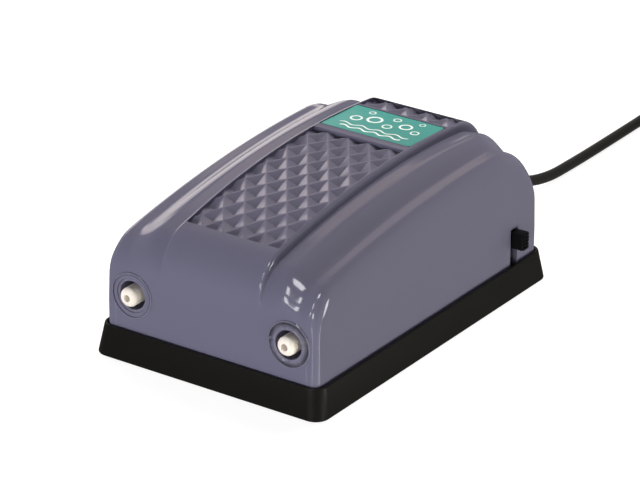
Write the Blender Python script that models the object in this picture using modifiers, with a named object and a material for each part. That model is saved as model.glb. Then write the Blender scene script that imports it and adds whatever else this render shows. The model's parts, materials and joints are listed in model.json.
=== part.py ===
"""Aquarium air pump with two outlets, as an assembly of separate pieces.

Units are metres and +Z is up. The origin is the middle of the rubber boot's underside,
+X is the right-hand side seen from the outlets and +Y runs to the back, where the cord leaves.
"""

import math

import bmesh
import bpy
from mathutils import Matrix, Vector

# ---------------------------------------------------------------- overall sizes
BOOT_WIDTH = 0.0780
BOOT_LENGTH = 0.11925
BOOT_HEIGHT = 0.0092
BOOT_DRAFT = 0.0015
BOOT_CORNER = 0.0045
BOOT_WALL = 0.0008
BOOT_FLOOR = 0.0020

GAP = 0.0003
RIM_GAP = 0.0005
RUNNING_CLEARANCE = 0.00005

# ---------------------------------------------------------------- housing
HOUSING_WALL = 0.0020
HOUSING_CORNER = 0.0025
HOUSING_TAPER = 0.020
HOUSING_HALF_WIDTH = BOOT_WIDTH / 2 - BOOT_DRAFT - BOOT_WALL - RIM_GAP
HOUSING_HALF_LENGTH = BOOT_LENGTH / 2 - BOOT_DRAFT - BOOT_WALL - RIM_GAP
HOUSING_FOOT = BOOT_FLOOR + GAP
TAPER_DEPTH = 0.012

BAND_TOP = 0.0494
BAND_CREST_Y = 0.020
BAND_RADIUS = 0.270
BAND_HALF = 0.0168
BAND_LIP = 0.0005
BAND_STEP = 0.0022
BAND_STEP_RUN = 0.0004

RIDGE_TOP = 0.0445
RIDGE_CREST_Y = 0.033
RIDGE_RADIUS = 0.400
FLANK_START = 0.0215
FLANK_END = 0.0305
FLANK_DROP = 0.0034
SHOULDER_RUN = 0.0038
SHOULDER_DROP = 0.0060

FRONT_ROLL = 0.009
REAR_ROLL_BAND = 0.012
REAR_ROLL_RIDGE = 0.015
REAR_ROLL_EDGE = 0.020

CEILING_DROP = 0.0036
INNER_STEP = 0.0012

# ---------------------------------------------------------------- top panels
PANEL_HALF = 0.0156
PANEL_DEPTH = 0.0007
PANEL_FRONT_Y = -0.0458
PANEL_REAR_Y = 0.0156
LABEL_FRONT_Y = 0.0182
LABEL_REAR_Y = 0.0376
REAR_PANEL_FRONT_Y = 0.0386
REAR_PANEL_REAR_Y = 0.0474
LABEL_THICKNESS = 0.0004
LABEL_RECESS = 0.0009
DIAMOND_HALF_ACROSS = 0.00355
DIAMOND_HALF_ALONG = 0.00507
DIAMOND_FIRST_Y = -0.0454
DIAMOND_FILL = 0.93
PIT_DEPTH = 0.00125
PIT_ABOVE = 0.00004
PIT_MARGIN = 0.0004

# ---------------------------------------------------------------- outlets
OUTLET_X = 0.0267
OUTLET_Z = 0.0198
OUTLET_HOLE_RADIUS = 0.0043
OUTLET_RECESS_RADIUS = 0.00615
OUTLET_RECESS_DEPTH = 0.0005
OUTLET_RING_RADIUS = 0.0070
OUTLET_RING_HEIGHT = 0.00025
NOZZLE_RADIUS = 0.00285
NOZZLE_BORE = 0.00095
NOZZLE_COLLAR_RADIUS = 0.0039
NOZZLE_COLLAR_LENGTH = 0.0016
NOZZLE_SPIGOT_RADIUS = 0.0022
NOZZLE_SPIGOT_LENGTH = 0.0040
NOZZLE_REACH = 0.0025

# ---------------------------------------------------------------- base plate and screws
PLATE_THICKNESS = 0.0020
PLATE_CORNER = 0.0022
POST_RADIUS = 0.0030
POST_FRONT_X = 0.0168
POST_FRONT_Y = -0.0500
POST_REAR_X = 0.0200
POST_REAR_Y = 0.0475
SCREW_RADIUS = 0.0013
SCREW_HEAD_RADIUS = 0.0024
SCREW_HEAD_HEIGHT = 0.0013
SCREW_LENGTH = 0.0110
SCREW_HOLE_RADIUS = SCREW_RADIUS + GAP

# ---------------------------------------------------------------- electromagnet
CORE_Z = OUTLET_Z
CORE_STACK = 0.0130
CORE_FRONT_Y = 0.0060
CORE_LENGTH = 0.0300
CORE_HALF_WIDTH = 0.0180
CORE_OUTER_LEG = 0.0050
CORE_MIDDLE_LEG = 0.0100
CORE_YOKE = 0.0060
BOBBIN_WALL = 0.0009
BOBBIN_FLANGE = 0.0012
BOBBIN_SET_BACK = 0.0013
WINDING_THICKNESS = 0.0052
WINDING_BUILD_HEIGHT = 0.0058
CORE_SCREW_RADIUS = 0.0016
CLAMP_THICKNESS = 0.0012

# ---------------------------------------------------------------- swing arms and magnets
ARM_X = 0.0090
ARM_THICKNESS = 0.0028
ARM_HEIGHT = 0.0100
PIVOT_Y = -0.0455
PIVOT_RADIUS = 0.0012
ARM_BOSS_RADIUS = 0.0032
MAGNET_WIDTH = 0.0090
MAGNET_THICKNESS = 0.0040
MAGNET_HEIGHT = 0.0110
MAGNET_AIR_GAP = 0.0010
ARM_HEAD_THICKNESS = 0.0024
BRACKET_DECK = 0.0022
BRACKET_WALL = 0.0020
BRACKET_HALF_WIDTH = 0.0126
BRACKET_MARGIN = 0.0030

# ---------------------------------------------------------------- valve chambers
CHAMBER_INNER_X = 0.0160
CHAMBER_OUTER_X = 0.0328
CHAMBER_FRONT_Y = -0.0420
CHAMBER_REAR_Y = -0.0120
CHAMBER_HALF_HEIGHT = 0.0112
CHAMBER_EDGE = 0.0012
DIAPHRAGM_Y = (CHAMBER_FRONT_Y + CHAMBER_REAR_Y) / 2
POCKET_RADIUS = 0.0088
POCKET_DEPTH = 0.0040
PLENUM_RADIUS = 0.0070
PLENUM_DEPTH = 0.0120
VALVE_PLATE_THICKNESS = 0.0014
VALVE_PORT_RADIUS = 0.0012
VALVE_PORT_OFFSET = 0.0038
FLAP_RADIUS = 0.0026
FLAP_THICKNESS = 0.0005
DIAPHRAGM_RADIUS = 0.0108
DIAPHRAGM_WEB = 0.0010
DIAPHRAGM_HUB_RADIUS = 0.0040
RETAINER_INNER_RADIUS = 0.0088
RETAINER_THICKNESS = 0.0014
STUD_RADIUS = 0.0012
STUD_HEAD_RADIUS = 0.0026
STUD_HEAD_HEIGHT = 0.0012

# ---------------------------------------------------------------- output control
CONTROL_Y = 0.04355
SLOT_WIDTH = 0.0038
SLOT_TOP = 0.0202
KNOB_WIDTH = 0.0033
KNOB_HEIGHT = 0.0052
KNOB_TOP = 0.0197
KNOB_REACH = 0.0042
KNOB_TAIL = 0.0026
KNOB_RIBS = 4
KNOB_RIB_HEIGHT = 0.0005
SLIDER_WIDTH = 0.0024
SLIDER_HEIGHT = 0.0026
SLIDER_LENGTH = 0.0060
CONTROL_BODY_FRONT_Y = 0.0360
CONTROL_BODY_LENGTH = 0.0090
CONTROL_BODY_DEPTH = 0.0060
CONTROL_TRAVEL = 0.0048

# ---------------------------------------------------------------- air filter
FILTER_X = -0.0250
FILTER_Y = 0.0385
FILTER_RADIUS = 0.0065
FILTER_THICKNESS = 0.0025
FILTER_SLOTS = 3
FILTER_SLOT_WIDTH = 0.0016
FILTER_SLOT_PITCH = 0.0036
BOOT_INTAKE_RADIUS = 0.0050

# ---------------------------------------------------------------- mains cord and plug
CORD_RADIUS = 0.0017
CORD_EXIT_Z = 0.0155
CORD_HOLE_RADIUS = 0.0040
RELIEF_NECK_RADIUS = 0.0036
RELIEF_FLANGE_RADIUS = 0.0056
RELIEF_TIP_RADIUS = 0.0024
RELIEF_LENGTH = 0.0230
RELIEF_FLANGE = 0.0016
CORD_LIES_AT = CORD_RADIUS + 0.00005
CORD_ROUTE = (
    (0.0012, 0.0940, 0.0104),
    (0.0023, 0.1055, 0.0051),
    (0.0027, 0.1180, CORD_LIES_AT + 0.00065),
    (0.0027, 0.1320, CORD_LIES_AT),
    (0.0027, 0.1560, CORD_LIES_AT),
    (0.0027, 0.1850, CORD_LIES_AT + 0.00045),
    (0.0027, 0.2037, 0.0052),
)
CORD_POINT_STEP = 0.0045
COIL_MIDDLE_RADIUS = 0.0195
COIL_HALF_WIDTH = 0.0056
COIL_HEIGHT = 0.0110
COIL_CENTRE_X = 0.0027 + COIL_MIDDLE_RADIUS
COIL_CENTRE_Y = 0.2220
COIL_BASE = 0.0014
TIE_THICKNESS = 0.0008
TIE_WIDTH = 0.0035
PLUG_X = COIL_CENTRE_X + COIL_MIDDLE_RADIUS
PLUG_CENTRE_Z = 0.0072
PLUG_LENGTH = 0.0300
PLUG_WIDTH = 0.0260
PLUG_THICKNESS = 0.0136
PLUG_TAIL_LENGTH = 0.0140
PLUG_REAR_Y = 0.1848
PIN_SPACING = 0.0180
PIN_RADIUS = 0.0020
PIN_LENGTH = 0.0190
TAIL_ROUTE = (
    (PLUG_X, 0.2037, 0.0066),
    (PLUG_X, 0.2013, 0.0070),
)

TURN_STEPS = 28
SIDES = (("left", -1), ("right", 1))

PLATE_TOP = HOUSING_FOOT + PLATE_THICKNESS
INNER_HALF_WIDTH = HOUSING_HALF_WIDTH - HOUSING_WALL
INNER_HALF_LENGTH = HOUSING_HALF_LENGTH - HOUSING_WALL
PIECES = "air_pump"
CUTTERS = "cutters"


# ---------------------------------------------------------------- scene helpers
def clear_scene():
    """Remove every object, so that the script starts from an empty scene."""
    for item in list(bpy.data.objects):
        bpy.data.objects.remove(item, do_unlink=True)


def collection(name):
    """Return the named collection, made under the scene when it is missing."""
    found = bpy.data.collections.get(name)
    if found is None:
        found = bpy.data.collections.new(name)
        bpy.context.scene.collection.children.link(found)
    return found


def material(name, colour, roughness, metallic=0.0):
    """Return a Principled material of one colour."""
    found = bpy.data.materials.get(name)
    if found is None:
        found = bpy.data.materials.new(name)
        found.use_nodes = True
        shader = found.node_tree.nodes["Principled BSDF"]
        shader.inputs["Base Color"].default_value = (*colour, 1.0)
        shader.inputs["Roughness"].default_value = roughness
        shader.inputs["Metallic"].default_value = metallic
    return found


def housing_plastic():
    return material("housing_plastic", (0.145, 0.141, 0.200), 0.18)


def black_rubber():
    return material("black_rubber", (0.012, 0.011, 0.010), 0.50)


def black_plastic():
    return material("black_plastic", (0.008, 0.008, 0.009), 0.45)


def ivory_plastic():
    return material("ivory_plastic", (0.80, 0.76, 0.70), 0.35)


def grey_plastic():
    return material("grey_plastic", (0.32, 0.33, 0.34), 0.45)


def teal_label():
    return material("teal_label", (0.060, 0.400, 0.330), 0.45)


def soft_rubber():
    return material("soft_rubber", (0.030, 0.030, 0.032), 0.60)


def steel():
    return material("steel", (0.55, 0.56, 0.58), 0.30, 1.0)


def silicon_steel():
    return material("silicon_steel", (0.28, 0.29, 0.31), 0.40, 1.0)


def ferrite():
    return material("ferrite", (0.060, 0.060, 0.065), 0.50, 0.3)


def copper():
    return material("copper", (0.50, 0.19, 0.07), 0.30, 1.0)


def felt():
    return material("felt", (0.62, 0.60, 0.55), 0.95)


def lead_sleeving():
    return material("lead_sleeving", (0.35, 0.04, 0.03), 0.45)


def link(name, mesh, surface, group=PIECES):
    """Make an object from a mesh and put it in a collection."""
    item = bpy.data.objects.new(name, mesh)
    collection(group).objects.link(item)
    if surface is not None:
        mesh.materials.append(surface)
    if group == CUTTERS:
        item.hide_render = True
        item.display_type = "WIRE"
    return item


def finish_mesh(name, shape):
    """Turn a bmesh into a mesh with its normals pointing outwards."""
    bmesh.ops.recalc_face_normals(shape, faces=shape.faces)
    mesh = bpy.data.meshes.new(name)
    shape.to_mesh(mesh)
    shape.free()
    return mesh


def box(name, low, high, surface=None, group=PIECES, edge=0.0):
    """Make a box between two corners, with its edges rounded by `edge`."""
    low, high = Vector(low), Vector(high)
    shape = bmesh.new()
    bmesh.ops.create_cube(shape, size=1.0)
    bmesh.ops.scale(shape, vec=high - low, verts=shape.verts)
    item = link(name, finish_mesh(name, shape), surface, group)
    item.location = (low + high) / 2
    if edge > 0:
        rounding = item.modifiers.new("rounded edges", "BEVEL")
        rounding.width = edge
        rounding.segments = 2
        rounding.limit_method = "ANGLE"
    return item


def turn_to(item, axis):
    """Stand an object made along Z on a world axis, given as 'X', 'Y' or 'Z' with a sign."""
    turns = {
        "Z": (0.0, 0.0, 0.0),
        "-Z": (math.pi, 0.0, 0.0),
        "X": (0.0, math.pi / 2, 0.0),
        "-X": (0.0, -math.pi / 2, 0.0),
        "Y": (-math.pi / 2, 0.0, 0.0),
        "-Y": (math.pi / 2, 0.0, 0.0),
    }
    item.rotation_euler = turns[axis]


def cylinder(name, radius, length, start, axis, surface=None, group=PIECES, steps=TURN_STEPS):
    """Make a cylinder that starts at a point and runs along an axis."""
    shape = bmesh.new()
    bmesh.ops.create_cone(
        shape,
        cap_ends=True,
        segments=steps,
        radius1=radius,
        radius2=radius,
        depth=length,
        matrix=Matrix.Translation((0.0, 0.0, length / 2)),
    )
    item = link(name, finish_mesh(name, shape), surface, group)
    item.location = start
    turn_to(item, axis)
    return item


def turned(name, profile, start, axis, surface=None, group=PIECES, steps=TURN_STEPS):
    """Turn a closed (radius, height) profile about an axis through a point."""
    shape = bmesh.new()
    points = [shape.verts.new((radius, 0.0, height)) for radius, height in profile]
    for first, second in zip(points, points[1:] + points[:1], strict=True):
        if first.co.x > 0 or second.co.x > 0:
            shape.edges.new((first, second))
    mesh = bpy.data.meshes.new(name)
    shape.to_mesh(mesh)
    shape.free()
    item = link(name, mesh, surface, group)
    item.location = start
    turn_to(item, axis)
    screw = item.modifiers.new("turned", "SCREW")
    screw.axis = "Z"
    screw.angle = math.tau
    screw.steps = steps
    screw.render_steps = steps
    screw.use_merge_vertices = True
    screw.merge_threshold = 0.00001
    screw.use_normal_flip = True
    return item


def ring(name, outer, inner, length, start, axis, surface=None, group=PIECES, steps=TURN_STEPS):
    """Make a flat-ended ring."""
    profile = [(inner, 0.0), (outer, 0.0), (outer, length), (inner, length)]
    return turned(name, profile, start, axis, surface, group, steps)


def combine(item, tool, operation="DIFFERENCE"):
    """Cut a tool out of an object, or add the tool to it."""
    step = item.modifiers.new(f"{operation.lower()} {tool.name}", "BOOLEAN")
    step.operation = operation
    step.solver = "EXACT"
    step.object = tool
    return item


def rounded_block(name, half_width, half_length, corner, low, high, flare=0.0, group=PIECES, surface=None):
    """Make a block with rounded upright corners; `flare` is how much wider its foot is than its top."""
    shape = bmesh.new()
    bmesh.ops.create_cube(shape, size=1.0)
    bmesh.ops.scale(shape, vec=(2 * half_width, 2 * half_length, high - low), verts=shape.verts)
    upright = [e for e in shape.edges if abs(e.verts[0].co.z - e.verts[1].co.z) > (high - low) / 2]
    bmesh.ops.bevel(shape, geom=upright, offset=corner, segments=6, profile=0.5, affect="EDGES")
    for vert in shape.verts:
        if vert.co.z < 0:
            vert.co.x *= 1 + flare / half_width
            vert.co.y *= 1 + flare / half_length
    item = link(name, finish_mesh(name, shape), surface, group)
    item.location = (0.0, 0.0, (low + high) / 2)
    return item


# ---------------------------------------------------------------- the housing's form
def smooth_step(value, start, end):
    """Rise smoothly from 0 at `start` to 1 at `end`."""
    share = min(max((value - start) / (end - start), 0.0), 1.0)
    return share * share * (3 - 2 * share)


def quarter_round(reach, run, drop):
    """How far an elliptical edge has fallen, `reach` along its `run`."""
    share = min(max(reach / run, 0.0), 1.0)
    return drop * (1 - math.sqrt(1 - share * share))


def band_height(y):
    """Height of the middle band's long arc."""
    return BAND_TOP - (y - BAND_CREST_Y) ** 2 / (2 * BAND_RADIUS)


def ridge_height(y):
    """Height of the outer ridges' longer arc."""
    return RIDGE_TOP - (y - RIDGE_CREST_Y) ** 2 / (2 * RIDGE_RADIUS)


def rear_roll(x):
    """Radius of the rear roll-over, which grows towards the sides."""
    stepped = smooth_step(x, BAND_HALF, BAND_HALF + BAND_STEP_RUN)
    outward = smooth_step(x, FLANK_START, FLANK_END)
    return (
        REAR_ROLL_BAND
        + (REAR_ROLL_RIDGE - REAR_ROLL_BAND) * stepped
        + (REAR_ROLL_EDGE - REAR_ROLL_RIDGE) * outward
    )


def outer_height(x, y):
    """Height of the housing's outer surface over a point, before its walls lean."""
    x = abs(x)
    outward = smooth_step(x, BAND_HALF, FLANK_END)
    height = band_height(y) * (1 - outward) + (ridge_height(y) + BAND_STEP + FLANK_DROP) * outward
    if x > BAND_HALF:
        height -= BAND_LIP + (BAND_STEP - BAND_LIP) * min((x - BAND_HALF) / BAND_STEP_RUN, 1.0)
    else:
        height -= quarter_round(x - BAND_HALF + BAND_LIP, BAND_LIP, BAND_LIP)
    height -= FLANK_DROP * smooth_step(x, FLANK_START, FLANK_END)
    height -= quarter_round(x - HOUSING_HALF_WIDTH + SHOULDER_RUN, SHOULDER_RUN, SHOULDER_DROP)
    front = -y - HOUSING_HALF_LENGTH + FRONT_ROLL
    height -= quarter_round(front, FRONT_ROLL, FRONT_ROLL)
    rear = rear_roll(x)
    height -= quarter_round(y - HOUSING_HALF_LENGTH + rear, rear, rear)
    return height


def inner_height(x, y):
    """Height of the cavity's ceiling, which follows the outside with fewer steps."""
    x = abs(x)
    run = SHOULDER_RUN + HOUSING_WALL
    outward = smooth_step(x, BAND_HALF - HOUSING_WALL, FLANK_END)
    height = band_height(y) * (1 - outward) + (ridge_height(y) + BAND_STEP + FLANK_DROP) * outward
    height -= CEILING_DROP
    height -= INNER_STEP * smooth_step(x, BAND_HALF - HOUSING_WALL, BAND_HALF)
    height -= FLANK_DROP * smooth_step(x, FLANK_START - HOUSING_WALL, FLANK_END - HOUSING_WALL)
    height -= quarter_round(x - INNER_HALF_WIDTH + run, run, SHOULDER_DROP)
    front_radius = FRONT_ROLL - HOUSING_WALL / 2
    height -= quarter_round(-y - INNER_HALF_LENGTH + front_radius, front_radius, front_radius)
    rear_radius = rear_roll(x)
    height -= quarter_round(y - INNER_HALF_LENGTH + rear_radius, rear_radius, rear_radius)
    return height


def spread(start, end, count):
    """Evenly spaced values from start to end, both included."""
    return [start + (end - start) * step / count for step in range(count + 1)]


def arc_stops(end, radius, count):
    """Places along a roll-over that ends at `end`, closer together where it is steep."""
    return [end - radius * (1 - math.sin(math.pi / 2 * step / count)) for step in range(count + 1)]


def housing_columns():
    """Half of the outer grid's columns, from the middle to the side wall."""
    lip = BAND_HALF - BAND_LIP
    middle = [*spread(0.0, PANEL_HALF, 2), lip, lip + 0.7 * BAND_LIP, BAND_HALF, BAND_HALF + BAND_STEP_RUN]
    ridge = spread(BAND_HALF + BAND_STEP_RUN, FLANK_START, 3)[1:]
    flank = spread(FLANK_START, FLANK_END, 6)[1:]
    shoulder = arc_stops(HOUSING_HALF_WIDTH, SHOULDER_RUN, 6)
    return middle + ridge + flank + shoulder


def both_ways(half):
    """Mirror a list of places that starts at 0."""
    return [-value for value in reversed(half[1:])] + half


def shell_form(name, columns, rows, height, half_width, half_length, corner, foot, surface, group):
    """Shape a grid into a top surface, drop its edge to the foot, close it and lean its walls."""
    shape = bmesh.new()
    bmesh.ops.create_grid(shape, x_segments=len(columns) - 1, y_segments=len(rows) - 1, size=1.0)
    for vert in shape.verts:
        column = round((vert.co.x + 1) / 2 * (len(columns) - 1))
        row = round((vert.co.y + 1) / 2 * (len(rows) - 1))
        x, y = columns[column], rows[row]
        into_corner = max(abs(y) - half_length + corner, 0.0)
        narrowing = corner - math.sqrt(max(corner**2 - into_corner**2, 0.0))
        keep = half_width - SHOULDER_RUN - corner
        place = x
        if abs(x) > keep:
            place = math.copysign(
                keep + (abs(x) - keep) * (half_width - narrowing - keep) / (half_width - keep), x
            )
        vert.co = (place, y, height(x, y))
    rim = [edge for edge in shape.edges if edge.is_boundary]
    made = bmesh.ops.extrude_edge_only(shape, edges=rim)["geom"]
    lowered = [part for part in made if isinstance(part, bmesh.types.BMVert)]
    for vert in lowered:
        vert.co.z = foot
    bmesh.ops.holes_fill(shape, edges=[e for e in shape.edges if e.is_boundary], sides=0)
    for vert in shape.verts:
        lean_walls(vert.co, half_width, half_length)
    return link(name, finish_mesh(name, shape), surface, group)


def lean_walls(place, half_width, half_length):
    """Lean a point near a side or end wall inwards with height above the boot's rim."""
    lean = HOUSING_TAPER * (place.z - BOOT_HEIGHT)
    for axis, half in ((0, half_width), (1, half_length)):
        share = smooth_step(abs(place[axis]), half - TAPER_DEPTH, half)
        place[axis] -= math.copysign(lean * share, place[axis])


def outer_rows():
    """The outer grid's rows, from the front wall to the rear wall."""
    front = [-value for value in reversed(arc_stops(HOUSING_HALF_LENGTH, FRONT_ROLL, 8))]
    rear = arc_stops(HOUSING_HALF_LENGTH, REAR_ROLL_EDGE, 10)
    return front + spread(front[-1], rear[0], 9)[1:-1] + rear


def inner_rows():
    """The cavity grid's rows."""
    front = [-value for value in reversed(arc_stops(INNER_HALF_LENGTH, FRONT_ROLL, 5))]
    rear = arc_stops(INNER_HALF_LENGTH, REAR_ROLL_EDGE, 6)
    return front + spread(front[-1], rear[0], 6)[1:-1] + rear


def inner_columns():
    """Half of the cavity grid's columns."""
    middle = [0.0, BAND_HALF - HOUSING_WALL, BAND_HALF, FLANK_START - HOUSING_WALL]
    flank = spread(FLANK_START - HOUSING_WALL, FLANK_END - HOUSING_WALL, 3)[1:]
    shoulder = arc_stops(INNER_HALF_WIDTH, SHOULDER_RUN, 4)[1:]
    return middle + flank + shoulder


def band_cutter(name, half, front, rear, depth):
    """A slab whose underside lies `depth` below the band's arc."""
    shape = bmesh.new()
    count = 10
    bmesh.ops.create_grid(shape, x_segments=1, y_segments=count, size=1.0)
    for vert in shape.verts:
        y = front + (rear - front) * (vert.co.y + 1) / 2
        vert.co = (vert.co.x * half, y, band_height(y) - depth)
    made = bmesh.ops.extrude_face_region(shape, geom=shape.faces[:])["geom"]
    for part in made:
        if isinstance(part, bmesh.types.BMVert):
            part.co.z += 2 * depth + PIT_DEPTH
    return link(name, finish_mesh(name, shape), None, CUTTERS)


def diamond_pits(name, front, rear):
    """Inverted pyramids of the diamond pattern that lie between two ends of a panel."""
    shape = bmesh.new()
    rows = range(int((REAR_PANEL_REAR_Y - DIAMOND_FIRST_Y) / DIAMOND_HALF_ALONG) + 2)
    for row in rows:
        y = DIAMOND_FIRST_Y + row * DIAMOND_HALF_ALONG
        if y + DIAMOND_HALF_ALONG < front or y - DIAMOND_HALF_ALONG > rear:
            continue
        shift = DIAMOND_HALF_ACROSS * (row % 2)
        for step in range(-3, 4):
            x = step * 2 * DIAMOND_HALF_ACROSS + shift
            if abs(x) - DIAMOND_HALF_ACROSS < PANEL_HALF - PIT_MARGIN - DIAMOND_HALF_ACROSS / 4:
                add_pit(shape, x, y)
    for place, normal in (
        ((PANEL_HALF - PIT_MARGIN, 0, 0), (1, 0, 0)),
        ((PIT_MARGIN - PANEL_HALF, 0, 0), (-1, 0, 0)),
        ((0, rear - PIT_MARGIN, 0), (0, 1, 0)),
        ((0, front + PIT_MARGIN, 0), (0, -1, 0)),
    ):
        trim(shape, place, normal)
    return link(name, finish_mesh(name, shape), None, CUTTERS)


def add_pit(shape, x, y):
    """Add one inverted pyramid, its mouth just above the panel's floor."""
    grow = DIAMOND_FILL * (1 + PIT_ABOVE / PIT_DEPTH)
    slope = math.atan((BAND_CREST_Y - y) / BAND_RADIUS)
    place = Matrix.Translation((x, y, band_height(y) - PANEL_DEPTH + PIT_ABOVE))
    stretch = Matrix.Diagonal((DIAMOND_HALF_ACROSS * grow, DIAMOND_HALF_ALONG * grow, 1.0, 1.0))
    depth = PIT_DEPTH + PIT_ABOVE
    bmesh.ops.create_cone(
        shape,
        cap_ends=True,
        segments=4,
        radius1=0.0,
        radius2=1.0,
        depth=depth,
        matrix=place @ Matrix.Rotation(slope, 4, "X") @ stretch @ Matrix.Translation((0, 0, -depth / 2)),
    )


def trim(shape, place, normal):
    """Cut away what lies beyond a plane and close the cut."""
    parts = shape.verts[:] + shape.edges[:] + shape.faces[:]
    bmesh.ops.bisect_plane(
        shape, geom=parts, dist=1e-7, plane_co=place, plane_no=normal, clear_outer=True
    )
    bmesh.ops.holes_fill(shape, edges=[e for e in shape.edges if e.is_boundary], sides=0)


def label_tilt():
    """Slope of the band's arc at the middle of the label, in radians."""
    middle = (LABEL_FRONT_Y + LABEL_REAR_Y) / 2
    return math.atan((BAND_CREST_Y - middle) / BAND_RADIUS)


def label_slab(name, low, high, margin, surface, group):
    """A flat slab over the label's place, between two heights above the arc."""
    middle = (LABEL_FRONT_Y + LABEL_REAR_Y) / 2
    half_length = (LABEL_REAR_Y - LABEL_FRONT_Y) / 2 - margin
    half_width = PANEL_HALF - margin
    item = box(name, (-half_width, -half_length, low), (half_width, half_length, high), surface, group)
    tilt = Matrix.Rotation(label_tilt(), 4, "X")
    place = Matrix.Translation((0.0, middle, band_height(middle)))
    item.matrix_world = place @ tilt @ Matrix.Translation((0.0, 0.0, (low + high) / 2))
    return item


def post_places():
    """Names and places of the four housing posts."""
    return [
        (f"{end}_{side}", sign * x, y)
        for end, x, y in (("front", POST_FRONT_X, POST_FRONT_Y), ("rear", POST_REAR_X, POST_REAR_Y))
        for side, sign in SIDES
    ]


def outer_wall_y(z):
    """Distance from the middle to the front or rear wall's outside at a height."""
    return HOUSING_HALF_LENGTH - HOUSING_TAPER * (z - BOOT_HEIGHT)


def outer_wall_x(z):
    """Distance from the middle to a side wall's outside at a height."""
    return HOUSING_HALF_WIDTH - HOUSING_TAPER * (z - BOOT_HEIGHT)


def post_top(x, y):
    """Height of a post's hidden top, under the lowest point of the outside above it."""
    around = [math.tau * step / 8 for step in range(8)]
    outline = [(x + POST_RADIUS * math.cos(a), y + POST_RADIUS * math.sin(a)) for a in around]
    return min(outer_height(*place) for place in outline) - HOUSING_WALL / 2


def make_housing():
    """The one-piece upper shell: ridged top, panels, outlet holes, control slot and posts."""
    corner = HOUSING_CORNER
    columns = both_ways(housing_columns())
    housing = shell_form(
        "upper_housing",
        columns,
        outer_rows(),
        outer_height,
        HOUSING_HALF_WIDTH,
        HOUSING_HALF_LENGTH,
        corner,
        HOUSING_FOOT,
        housing_plastic(),
        PIECES,
    )
    cavity = shell_form(
        "housing_cavity",
        both_ways(inner_columns()),
        inner_rows(),
        inner_height,
        INNER_HALF_WIDTH,
        INNER_HALF_LENGTH,
        corner / 2,
        HOUSING_FOOT - HOUSING_WALL,
        None,
        CUTTERS,
    )
    combine(housing, cavity)
    for name, x, y in post_places():
        top = post_top(x, y)
        low = PLATE_TOP + GAP
        post = cylinder(f"post_{name}", POST_RADIUS, top - low, (x, y, low), "Z", None, CUTTERS, 16)
        combine(housing, post, "UNION")
        depth = SCREW_LENGTH + GAP
        pilot = cylinder(
            f"pilot_{name}", SCREW_RADIUS + GAP, depth, (x, y, low - GAP), "Z", None, CUTTERS, 16
        )
        combine(housing, pilot)
    combine(
        housing, band_cutter("panel_recess", PANEL_HALF, PANEL_FRONT_Y, PANEL_REAR_Y, PANEL_DEPTH)
    )
    combine(
        housing,
        band_cutter("rear_recess", PANEL_HALF, REAR_PANEL_FRONT_Y, REAR_PANEL_REAR_Y, PANEL_DEPTH),
    )
    combine(housing, label_slab("label_recess", -LABEL_RECESS, PIT_DEPTH, 0.0, None, CUTTERS))
    combine(housing, diamond_pits("panel_pits", PANEL_FRONT_Y, PANEL_REAR_Y))
    combine(housing, diamond_pits("rear_pits", REAR_PANEL_FRONT_Y, REAR_PANEL_REAR_Y))
    wall = outer_wall_y(OUTLET_Z)
    for side, sign in SIDES:
        x = sign * OUTLET_X
        reach = HOUSING_WALL * 2
        face = (x, -wall - OUTLET_RING_HEIGHT, OUTLET_Z)
        bead = cylinder(
            f"bead_{side}", OUTLET_RING_RADIUS, HOUSING_WALL, face, "Y", None, CUTTERS, 40
        )
        combine(housing, bead, "UNION")
        outside = (x, -wall - HOUSING_WALL, OUTLET_Z)
        depth = HOUSING_WALL + OUTLET_RECESS_DEPTH
        recess = cylinder(
            f"recess_{side}", OUTLET_RECESS_RADIUS, depth, outside, "Y", None, CUTTERS, 40
        )
        combine(housing, recess)
        hole = cylinder(
            f"hole_{side}", OUTLET_HOLE_RADIUS, reach + HOUSING_WALL, outside, "Y", None, CUTTERS, 32
        )
        combine(housing, hole)
    low = (INNER_HALF_WIDTH - HOUSING_WALL, CONTROL_Y - SLOT_WIDTH / 2, HOUSING_FOOT - GAP)
    high = (HOUSING_HALF_WIDTH + HOUSING_WALL, CONTROL_Y + SLOT_WIDTH / 2, SLOT_TOP)
    combine(housing, box("control_slot", low, high, None, CUTTERS))
    start = (0.0, INNER_HALF_LENGTH - 2 * HOUSING_WALL, CORD_EXIT_Z)
    combine(
        housing, cylinder("cord_hole", CORD_HOLE_RADIUS, 5 * HOUSING_WALL, start, "Y", None, CUTTERS)
    )
    return housing


# ---------------------------------------------------------------- boot, base and screws
def make_boot():
    """The soft tray that the pump stands in."""
    half_width, half_length = BOOT_WIDTH / 2 - BOOT_DRAFT, BOOT_LENGTH / 2 - BOOT_DRAFT
    corner = BOOT_CORNER - BOOT_DRAFT
    boot = rounded_block(
        "rubber_boot",
        half_width,
        half_length,
        corner,
        0.0,
        BOOT_HEIGHT,
        BOOT_DRAFT,
        surface=black_rubber(),
    )
    hollow = rounded_block(
        "boot_hollow",
        half_width - BOOT_WALL,
        half_length - BOOT_WALL,
        corner - BOOT_WALL / 2,
        BOOT_FLOOR,
        BOOT_HEIGHT + BOOT_FLOOR,
        group=CUTTERS,
    )
    combine(boot, hollow)
    intake = cylinder(
        "boot_intake",
        BOOT_INTAKE_RADIUS,
        3 * BOOT_FLOOR,
        (FILTER_X, FILTER_Y, -BOOT_FLOOR),
        "Z",
        None,
        CUTTERS,
    )
    return combine(boot, intake)


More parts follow.
